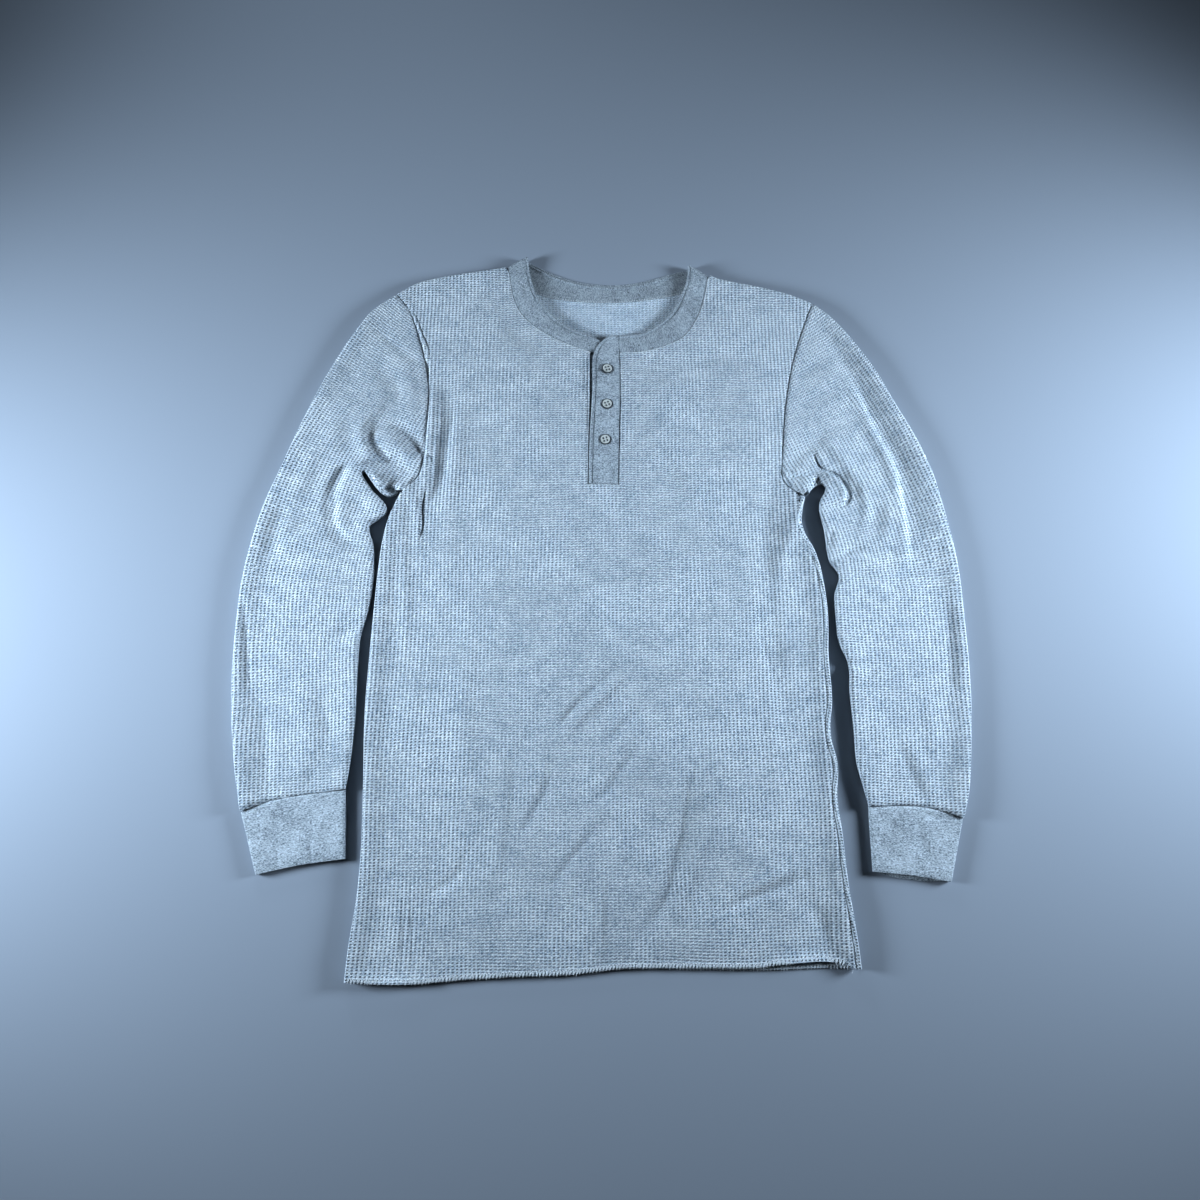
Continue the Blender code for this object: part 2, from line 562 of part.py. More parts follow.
def build_back(lines):
    neck = beside(list(reversed(band_line(BAND_BACK, "seam"))), SEAM_GAP)
    stretches = [
        ("cut", smooth(HEM_BACK)),
        ("fold", list(reversed(lines["left_side"]))),
        ("cut", list(reversed(lines["left_armhole"]))),
        ("fold", list(reversed(lines["left_shoulder"]))),
        ("cut", trim(neck, NECK_END_TRIM, NECK_END_TRIM)),
        ("fold", lines["right_shoulder"]),
        ("cut", lines["right_armhole"]),
        ("fold", lines["right_side"]),
    ]
    sheet = Sheet(stretches, BACK_GRID)
    cloth = Cloth()
    laid = cloth.add(sheet.raised(ground), [Vector((0, 0, -1))] * len(sheet.points))
    cloth.faces += sheet.faces
    left_side, *others = sheet.folds
    roll(cloth, laid, left_side, fold_height, math.pi, 0.0, lap=WRAP_LAP)
    for fold in others:
        roll(cloth, laid, fold, fold_height, math.pi, math.pi / 2 + SEAM_GAP / FOLD_HEIGHT)
    cloth.faces = [tuple(reversed(face)) for face in cloth.faces]
    return cloth.make("back", "waffle", WAFFLE_WALL)


# ---- sleeves and cuffs --------------------------------------------------------------------

def build_tube(name, stretches, finish, wall, top, slide=None):
    """A sleeve or cuff: a top layer, the folds at its two sides, and the layer under it.

    slide(place) says how far the under layer has moved in plan.
    """
    sheet = Sheet(stretches, SLEEVE_GRID)
    cloth = Cloth()
    upper = cloth.add(sheet.raised(top), sheet.facing())
    cloth.faces += sheet.faces
    under = sheet.raised(ground)
    if slide:
        under = [p + slide(p.xy).to_3d() for p in under]
    lower = cloth.add(under, [Vector((0, 0, -1))] * len(under))
    cloth.faces += [tuple(lower[i] for i in reversed(face)) for face in sheet.faces]
    last_angle = math.pi * (FOLD_STEPS - 1) / FOLD_STEPS
    for fold in sheet.folds:
        end = roll(cloth, upper, fold, lambda rim: top(rim.x, rim.y), 0.0, last_angle)
        cloth.add_strip(end, [lower[i] for i, _ in fold])
    return cloth.make(name, finish, wall)


def build_sleeve(name, outer, inner, armhole, cuff_seam, wearer_left):
    """Stretches run with the sleeve on their left: the left sleeve's are turned about."""
    if wearer_left:
        stretches = [
            ("fold", trim(list(reversed(outer)), end=SEAM_GAP)),
            ("cut", beside(armhole, SEAM_GAP)),
            ("fold", trim(inner, start=FOLD_RADIUS)),
            ("cut", list(reversed(cuff_seam))),
        ]
    else:
        stretches = [
            ("fold", trim(outer, start=SEAM_GAP)),
            ("cut", cuff_seam),
            ("fold", list(reversed(inner))),
            ("cut", beside(list(reversed(armhole)), SEAM_GAP)),
        ]
    return build_tube(name, stretches, "waffle", WAFFLE_WALL, top_height)


def cuff_height(x, y):
    return CUFF_HEIGHT


def build_cuff(name, seam, mouth, wearer_left, lip=0.0):
    outer = smooth((seam[0], mouth[0]))
    inner = smooth((seam[-1], mouth[-1]))
    rim = smooth(mouth)

    def slide(place):
        """The under layer slides out of the mouth, most at its middle and not at its folds."""
        near = max(0.0, 1 - to_line(place.x, place.y, rim) / CUFF_LIP_SPREAD)
        from_folds = min(to_line(place.x, place.y, outer), to_line(place.x, place.y, inner))
        middle = min(1.0, max(0.0, from_folds - FOLD_RADIUS) / CUFF_LIP_SPREAD)
        return (outer[-1] - outer[0]).normalized() * lip * near * middle

    if wearer_left:
        stretches = [
            ("fold", trim(list(reversed(outer)), end=SEAM_GAP)),
            ("cut", beside(smooth(seam), SEAM_GAP)),
            ("fold", trim(inner, start=SEAM_GAP)),
            ("cut", list(reversed(smooth(mouth)))),
        ]
    else:
        stretches = [
            ("fold", trim(outer, start=SEAM_GAP)),
            ("cut", smooth(mouth)),
            ("fold", trim(list(reversed(inner)), end=SEAM_GAP)),
            ("cut", beside(list(reversed(smooth(seam))), SEAM_GAP)),
        ]
    return build_tube(name, stretches, "jersey", JERSEY_WALL, cuff_height, slide)


# ---- neckband -----------------------------------------------------------------------------

def band_rows(table):
    edge = band_line(table, "edge")
    seam = band_line(table, "seam")
    count = min(len(edge), len(seam))
    return [(edge[round(i * (len(edge) - 1) / (count - 1))],
             seam[round(i * (len(seam) - 1) / (count - 1))]) for i in range(count)]


def build_neckband():
    """A strip from the placket round the neck and back, its outer face up in front, down behind."""
    rows = []
    for i, (edge, seam) in enumerate(band_rows(BAND_RIGHT_FRONT)):
        sink = bell(i, BAND_SINK_ROWS)
        rise = top_height(*seam) * (1 - sink) + BAND_END_TOP * sink
        rows.append((edge.to_3d() + Vector((0, 0, rise + BAND_STAND * (1 - sink))),
                     seam.to_3d() + Vector((0, 0, rise))))
    rows += turn_of_band(rows[-1], True)
    for edge, seam in band_rows(BAND_BACK)[1:-1]:
        rows.append((edge.to_3d(), seam.to_3d()))
    left = []
    for edge, seam in band_rows(BAND_LEFT_FRONT):
        rise = top_height(*seam)
        left.append((edge.to_3d() + Vector((0, 0, rise + BAND_STAND)),
                     seam.to_3d() + Vector((0, 0, rise))))
    rows += list(reversed(turn_of_band(left[-1], False)))
    rows += list(reversed(left))
    cloth = Cloth()
    previous = None
    for edge, seam in rows:
        current = cloth.add([edge.lerp(seam, k / BAND_STEPS) for k in range(BAND_STEPS + 1)])
        if previous:
            cloth.add_strip(previous, current)
        previous = current
    return cloth.make("neckband", "jersey", JERSEY_WALL)


def turn_of_band(row, wearer_right):
    """Rows that take the band over the shoulder fold, from its top down to the underside."""
    edge, seam = row
    across = (edge - seam).xy.normalized()
    out = Vector((-across.y, across.x)) if wearer_right else Vector((across.y, -across.x))
    turned = []
    for k in range(1, FOLD_STEPS + 1):
        angle = math.pi * k / FOLD_STEPS
        reach = out.to_3d() * FOLD_RADIUS * math.sin(angle)
        turned.append(tuple(Vector((p.x + reach.x, p.y + reach.y, p.z / 2 * (1 + math.cos(angle))))
                            for p in row))
    return turned


# ---- placket and buttons ------------------------------------------------------------------

def build_strip(name, outline, top):
    sheet = Sheet([("cut", smooth(outline, LONG_STEP) + [Vector(outline[0])])], STRIP_GRID)
    cloth = Cloth()
    cloth.add([Vector((p.x, p.y, top)) for p in sheet.points])
    cloth.faces = sheet.faces
    return cloth.make(name, "jersey", JERSEY_WALL)


def build_button(name, place):
    """A four-hole button that lies on the buttonhole strip, tilted on its thread."""
    verts = []
    for ring in BUTTON_SECTION:
        radius = ring.radius * BUTTON_RADIUS
        for k in range(BUTTON_FACETS):
            angle = 2 * math.pi * k / BUTTON_FACETS
            verts.append(Vector((radius * math.cos(angle), radius * math.sin(angle),
                                 ring.height * BUTTON_HEIGHT)))
    faces = [tuple(reversed(range(BUTTON_FACETS)))]
    for ring in range(len(BUTTON_SECTION) - 1):
        for k in range(BUTTON_FACETS):
            a = ring * BUTTON_FACETS + k
            b = ring * BUTTON_FACETS + (k + 1) % BUTTON_FACETS
            faces.append((a, b, b + BUTTON_FACETS, a + BUTTON_FACETS))
    top = (len(BUTTON_SECTION) - 1) * BUTTON_FACETS
    faces.append(tuple(range(top, top + BUTTON_FACETS)))
    piece = add_object(name, verts, faces, "button")
    piece.data.shade_smooth()
    piece.data.set_sharp_from_angle(angle=SHARP_ANGLE)
    lift = BUTTON_RADIUS * math.sin(place.tilt)
    piece.location = (place.x, place.y, PLACKET_TOP + SEAM_GAP + lift)
    piece.rotation_euler = (0.0, place.tilt, 0.0)

    cutter = add_object(name + "_holes", *button_holes(), "button")
    cutter.parent = piece
    cutter.hide_render = True
    cutter.display_type = "WIRE"
    cut = piece.modifiers.new("holes", "BOOLEAN")
    cut.operation = "DIFFERENCE"
    cut.solver = "EXACT"
    cut.object = cutter
    return piece


def button_holes():
    """Four pins that reach past both faces of the button."""
    sides = BUTTON_HOLE_SIDES
    verts = []
    faces = []
    for sx in (-1, 1):
        for sy in (-1, 1):
            first = len(verts)
            centre = Vector((sx * BUTTON_HOLE_OFFSET, sy * BUTTON_HOLE_OFFSET))
            for height in (-BUTTON_HEIGHT, 2 * BUTTON_HEIGHT):
                for k in range(sides):
                    angle = 2 * math.pi * k / sides
                    around = Vector((math.cos(angle), math.sin(angle))) * BUTTON_HOLE_RADIUS
                    verts.append((centre + around).to_3d() + Vector((0, 0, height)))
            faces.append(tuple(first + k for k in reversed(range(sides))))
            faces.append(tuple(first + sides + k for k in range(sides)))
            for k in range(sides):
                a = first + k
                b = first + (k + 1) % sides
                faces.append((a, b, b + sides, a + sides))
    return verts, faces


# ---- the garment --------------------------------------------------------------------------

def main():
    for old in list(bpy.data.objects):
        bpy.data.objects.remove(old, do_unlink=True)
    lines = lines_of_body()
    build_back(lines)
    build_front(lines)
    build_sleeve("sleeve_right", smooth(RIGHT_SLEEVE_OUTER), smooth(RIGHT_SLEEVE_INNER),
                 lines["right_armhole"], smooth(RIGHT_CUFF_SEAM), wearer_left=False)
    build_sleeve("sleeve_left", smooth(LEFT_SLEEVE_OUTER), smooth(LEFT_SLEEVE_INNER),
                 lines["left_armhole"], smooth(LEFT_CUFF_SEAM), wearer_left=True)
    build_cuff("cuff_right", RIGHT_CUFF_SEAM, RIGHT_CUFF_MOUTH, wearer_left=False)
    build_cuff("cuff_left", LEFT_CUFF_SEAM, LEFT_CUFF_MOUTH, wearer_left=True, lip=CUFF_LIP)
    build_neckband()
    build_strip("placket_under", UNDER_STRIP, UNDER_TOP)
    build_strip("placket_over", OVER_STRIP, PLACKET_TOP)
    for k, place in enumerate(BUTTONS):
        build_button(f"button_{k + 1}", place)


main()
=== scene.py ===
"""Long-sleeved waffle-knit henley thermal top, lying flat with its front up.

Each piece that is cut and sewn on is one thin closed sheet, cut to the outline of its solid, raised
in plan by its creases and carried round its folded sides. Metres, +Z up, +Y towards the neck; the
wearer's left is at +X. Tables are in millimetres.
"""

import math
from collections import namedtuple

import bpy
import numpy as np
from mathutils import Matrix, Vector
from mathutils.bvhtree import BVHTree
from mathutils.geometry import delaunay_2d_cdt


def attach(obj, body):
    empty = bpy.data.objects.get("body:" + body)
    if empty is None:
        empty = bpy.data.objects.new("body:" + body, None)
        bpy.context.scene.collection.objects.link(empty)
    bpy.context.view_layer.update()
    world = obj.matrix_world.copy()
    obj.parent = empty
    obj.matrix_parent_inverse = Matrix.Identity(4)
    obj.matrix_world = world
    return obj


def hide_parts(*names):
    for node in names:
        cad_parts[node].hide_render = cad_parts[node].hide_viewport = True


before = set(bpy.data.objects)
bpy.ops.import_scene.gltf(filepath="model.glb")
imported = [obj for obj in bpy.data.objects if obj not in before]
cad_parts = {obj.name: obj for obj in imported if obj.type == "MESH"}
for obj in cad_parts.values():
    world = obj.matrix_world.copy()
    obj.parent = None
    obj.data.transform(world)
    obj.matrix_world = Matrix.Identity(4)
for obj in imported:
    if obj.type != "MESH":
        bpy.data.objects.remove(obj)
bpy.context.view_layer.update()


def mm(*numbers, wide=2):
    """Numbers in millimetres as rows of metres: x and y, unless the rows are wider."""
    return np.reshape(numbers, (-1, wide)) / 1000


# ---- sizes --------------------------------------------------------------------------------

WAFFLE_WALL = 0.0015      # thermal knit
JERSEY_WALL = 0.0012      # doubled jersey of band, cuffs and placket
SEAM_GAP = 0.0003         # between two pieces at a seam
LAY_HEIGHT = 0.0060       # outer face of the cloth that lies on another panel
HEM_HEIGHT = 0.0046       # the same along the cut hem
HEM_SPREAD = 0.010        # width over which the cloth sinks to it
LOWEST_TOP = 0.0034       # no crease presses the two panels closer
EASE = 0.00025            # how gently a crease levels out above it
FOLD_HEIGHT = 0.0104      # top of the cloth beside a folded side
FOLD_RADIUS = 0.0030      # how far a folded side reaches past its flat part
HALF_GAP = SEAM_GAP / FOLD_HEIGHT    # half a seam's gap, as an angle round a fold
FOLD_SPREAD = 0.014       # width over which the cloth rises to its folded side
FOLD_STEPS = 12           # facets round half a fold
FOLD_SQUARENESS = 0.72    # 1 for a round fold, less for a squarer one
EDGE_LIFT = 0.0030        # how far a folded side hangs clear of the floor
EDGE_LIFT_SPREAD = 0.009
UNEVEN = ((0.00022, 0.034, 1), (0.00030, 0.090, 2))    # height, length of its waves, seed
LEAST_FOLD = 0.004        # least height of a fold, from its underside to its top
ALLOWANCE_INSET = 0.0038  # middle of the turned-in edges that raise the cloth beside a seam
ALLOWANCE_SPREAD = 0.0022
WRAP_LAP = 0.0018         # back panel that has rolled over on to the front, at the wearer's left
LAP_START = 0.006         # length over which that lap starts below the underarm
LAP_STEPS = 3             # faces across it
SIDE_SEAM_END = 0.068     # length below the underarm where the seam has turned out of sight
SHARP_ANGLE = math.radians(50)
SNAP = 0.6 * FOLD_RADIUS  # ends of two stretches closer than this are one corner
MEET_REACH = 10           # steps from a corner within which two stretches may cross

FRONT_GRID = 0.0030       # mesh of each piece
BACK_GRID = 0.0060
SLEEVE_GRID = 0.0027
CUFF_GRID = 0.0016
STRIP_GRID = 0.0010
FINE_GRID = 0.0011        # round creases narrower than FINE_WIDTH
FINE_WIDTH = 0.0030
BODY_KNIT_WANDER = 0.0016    # how far the knit's columns and rows stray
SLEEVE_KNIT_WANDER = 0.001
SLEEVE_KNIT_SHIFT = 0.4   # keeps the sleeves' places in the knit clear of the body's
EDGE_STEP = 0.0030        # longest step along a cut or folded edge
EDGE_ROOM = 0.45          # inner points keep this share of the mesh's step from an edge

CUFF_HEIGHT = 0.0066
CUFF_LIP = 0.0040         # under layer that shows past the left cuff's mouth
CUFF_LIP_SPREAD = 0.020
CUFF_SIDE_RISE = 0.0003   # cuff beside its folds, and over what width
CUFF_SIDE_SPREAD = 0.010
CUFF_SEAM_SINK = 0.0012   # groove along its seam
CUFF_SEAM_SPREAD = 0.0011
CUFF_MOUTH_DROP = 0.0006  # how far its mouth is rounded down
CUFF_MOUTH_SPREAD = 0.0020
BAND_STAND = 0.0032       # how much the neckband's free edge stands up
BAND_STEPS = 22           # faces across the neckband, before its rounded free edge
BAND_FRONT_ROWS = 46      # and along it
BAND_BACK_ROWS = 72
BAND_EDGE_RADIUS = 0.0011
BAND_CROWN = 0.0006       # how full the band is in its middle
BAND_RIM = 0.0003         # the band is fuller between its free edge and the stitches beside it
BAND_RIM_INSET = 0.0014
TOPSTITCH_INSET = 0.0036  # row of stitches beside the free edges of band and placket
TOPSTITCH_SINK = 0.0009
TOPSTITCH_SPREAD = 0.0006
STRIP_EDGE = 0.0006       # how far a strip's edge is rounded down, and over what width
STRIP_EDGE_SPREAD = 0.0008
RIM_HEIGHT = 0.0007       # fullness of the buttonhole strip between its edge and its stitches
RIM_INSET = 0.0018
RIM_SPREAD = 0.0015
BUTTON_RADIUS = 0.0057
BUTTON_HEIGHT = 0.0012
BUTTON_HOLE_RADIUS = 0.0011
BUTTON_HOLE_OFFSET = 0.0016
BUTTON_EDGE_AND_SHADE = 0.0009       # width of the darker edge round a button, with painted shade for its contact shadow
BUTTON_STEPS = (0.0008, 0.0005, 0.0004)    # widths of its rim, its slope and its bowl's edge
BUTTON_DISH = 0.0003      # depth of the bowl, and of the hollow below
BUTTON_UNDER = 0.0009     # width of the foot round that hollow
BAND_END_TOP = 0.0056
BAND_SINK = 0.012         # length over which the band's end sinks below the placket
PLACKET_TOP = 0.0076      # outer face of the buttonhole strip
BUTTON_BOTTOM = PLACKET_TOP - 0.0008
BUTTON_SEAT = 0.0008      # how far the buttonhole strip is pressed down under a button
UNDER_TOP = 0.0060        # and of the button strip below it
PLACKET_SPREAD = 0.018    # width over which the front rises to the placket
PLACKET_DROP = 0.0004     # how much lower than the buttonhole strip it stays

# Rows of straight stitches: length of a stitch, gap to the next one, thickness of the thread
Stitch = namedtuple("Stitch", "length gap thread")
TOPSTITCH = Stitch(0.0020, 0.0008, 0.00045)
COVERSTITCH_FRONT = Stitch(0.0019, 0.0009, 0.00060)
COVERSTITCH_BACK = Stitch(0.0017, 0.0011, 0.00060)
PLACKET_SEAM = Stitch(0.0018, 0.0010, 0.00040)
SIDE_STITCH = Stitch(0.0011, 0.0017, 0.00045)
ARMHOLE_STITCH = Stitch(0.0013, 0.0030, 0.00045)
TOPSTITCH_BACK_INSET = 0.0055        # from the band's free edge at the back of the neck
COVERSTITCH_INSET = 0.0012           # from the neck's seam: outward in front, inward at the back
COVERSTITCH_BACK_INSETS = (COVERSTITCH_INSET, -0.0030)
OVERLOCK_STEP = 0.0015               # between two loops along the hem
OVERLOCK_IN, OVERLOCK_OUT = 0.0040, 0.0007    # how far a loop reaches in and out of the edge
OVERLOCK_SLIP = 0.0003               # unevenness of the loops
OVERLOCK_THREAD = 0.00075
TAIL_THREAD = 0.0004
BUTTON_THREAD = 0.00032
BUTTON_THREAD_SINK = 0.0002          # its middle, below the button's rim
BUTTON_THREAD_INSET = 0.0006         # its ends, from the middle of the holes
BUTTON_THREAD_SLIP = 0.00022         # how far two turns of it cross over

# ---- outlines, in plan --------------------------------------------------------------------

RIGHT_SHOULDER = mm(-104, 360, -132, 355, -171, 348, -200, 340, -222, 326)
LEFT_SHOULDER = mm(121, 349.5, 132, 345, 154, 340, 183, 333, 209, 325, 231, 315)
RIGHT_ARMHOLE = mm(-222, 326, -206, 305, -195, 276, -186, 240, -181, 205, -182.5, 154, -184, 130,
    -187, 117, -196, 106, -205, 96)
LEFT_ARMHOLE = mm(231, 315, 219, 285, 206, 244, 197, 201, 192.5, 165, 190, 134, 189, 115,
    194, 104.5, 202, 97, 210, 90.5)
RIGHT_SIDE = mm(-205, 96, -209.5, 86, -215, 71, -219, 54, -222, 28, -224, -10, -226, -70,
    -227, -130, -224, -200, -222, -260, -224, -305, -228, -342, -230, -372)
LEFT_SIDE = mm(210, 90.5, 207, 78, 205, 64, 209, 50, 217, 34, 223, 8, 226, -30, 224, -75,
    224.5, -117, 221, -150, 226, -180, 223.5, -211, 226, -240, 229, -290, 233, -326, 236, -361)
HEM_FRONT = mm(-230, -372, -204, -373.5, -166, -373.5, -120, -370, -73, -367.5, -26, -366,
    20, -361, 90, -360.5, 140, -360.5, 166, -357, 202, -354.5, 230, -359)
HEM_BACK = mm(-230, -372, -166, -373.5, -73, -367.5, 20, -362, 150, -362.5, 205, -360.5, 236, -361)
RIGHT_SLEEVE_OUTER = mm(-222, 326, -246, 307, -264, 281, -279, 254, -297, 215, -316, 166,
    -332, 119, -344, 84, -353, 45, -359, 0, -360, -57, -357, -117, -349, -172, -338, -223)
RIGHT_SLEEVE_INNER = mm(-208, 97, -213.5, 92.5, -221, 93, -228.5, 99.5, -236, 109, -243.5, 119.5,
    -246, 117.5, -239.5, 107, -231.5, 96, -224, 88.5, -218, 80, -219, 73.5, -227, 67, -235, 60,
    -229, 38, -227, 5, -230, -27, -236, -53, -237, -81, -236, -135, -238, -177, -241, -202)
LEFT_SLEEVE_OUTER = mm(231, 315, 250, 299, 271, 272, 293, 236, 311, 198, 330, 157, 344, 117,
    352, 76, 359, 30, 361, -26, 360, -105, 355, -159, 349, -201, 341, -229)
LEFT_SLEEVE_INNER = mm(213, 92, 217, 99, 222.5, 104, 228.5, 106, 232.5, 103, 230.5, 96, 226, 88,
    224.5, 77, 228, 57, 231, 24, 240, 8, 234, -12, 233.5, -30, 235, -59, 243, -82, 242.5, -110,
    244, -145, 244.5, -177, 250, -204, 253, -218)
RIGHT_CUFF_SEAM = mm(-338, -223, -326, -218, -309, -212, -281, -207, -241, -202)
RIGHT_CUFF_MOUTH = mm(-319, -280, -303, -276, -275, -270.5, -237, -265.5)
LEFT_CUFF_SEAM = mm(341, -229, 322, -222, 303, -218, 284, -217, 253, -218)
LEFT_CUFF_MOUTH = mm(325, -286, 305, -282.5, 288, -280, 270, -278.3, 253, -276.8)
WINDOW_LEFT = mm(20.7, 256.5, 21.3, 215, 20, 160, 19, 106)
WINDOW_RIGHT = mm(-12.8, 106, -12, 150, -11.2, 205, -11, 257)
OVER_STRIP = mm(18.7, 106.3, 19.7, 160, 21, 215, 20.4, 256.5, 20.4, 276.2, 10, 275.8, 2, 270.5,
    -4, 262, -7.8, 248, -8, 215, -10.8, 160, -11.8, 106.3)
UNDER_STRIP = mm(15, 107, 16, 160, 17, 215, 16.8, 245, -6, 254, -10, 254.8, -10, 205, -10.8, 150,
    -11.4, 107)
BAND_RIGHT_FRONT = mm(6, 269, -6, 256, -17, 279, -28, 265, -34, 287, -49, 275, -50, 300, -69, 288,
    -64, 316, -85, 304, -72, 333, -94, 323, -77, 353, -98, 343, -79.5, 371, -100.5, 357.5, wide=4)
BAND_BACK = mm(-79.5, 371, -100.5, 357.5, -66, 363.5, -85, 339, -48, 354.5, -59, 327.5,
    -27, 347, -33, 322.5, -3, 343, -5, 320.5, 22, 342.5, 23, 320.5, 45, 346, 50, 323.5,
    66, 352, 76, 328, 84, 358, 100, 336, 96.5, 360.5, 117.5, 346.5, wide=4)
BAND_LEFT_FRONT = mm(20.7, 276.5, 20.7, 257, 40, 278.5, 47, 259.5, 57, 286, 70, 266.5,
    72, 298, 90, 277, 83, 313, 105, 299, 91, 332, 112.5, 320, 95.5, 347, 115.5, 334,
    96.5, 360.5, 117.5, 346.5, wide=4)
# The same by pairs, the wearer's right one first
SIDES = ("right", "left")
ARMHOLES = (RIGHT_ARMHOLE, LEFT_ARMHOLE)
CUFF_SEAMS = (RIGHT_CUFF_SEAM, LEFT_CUFF_SEAM)
BAND_FRONTS = (BAND_RIGHT_FRONT, BAND_LEFT_FRONT)

# ---- creases of the top layer -------------------------------------------------------------
# Each runs along its path and is a soft ridge, or a trough where its height is below zero. A lean
# makes its left side wider and its right side steeper, seen along the path.

Fold = namedtuple("Fold", "width height lean path")


def folds(*rows):
    """Rows of width and height in millimetres, lean, and the path's x and y by turns."""
    return [Fold(row[0] / 1000, row[1] / 1000, row[2], mm(*row[3:])) for row in rows]


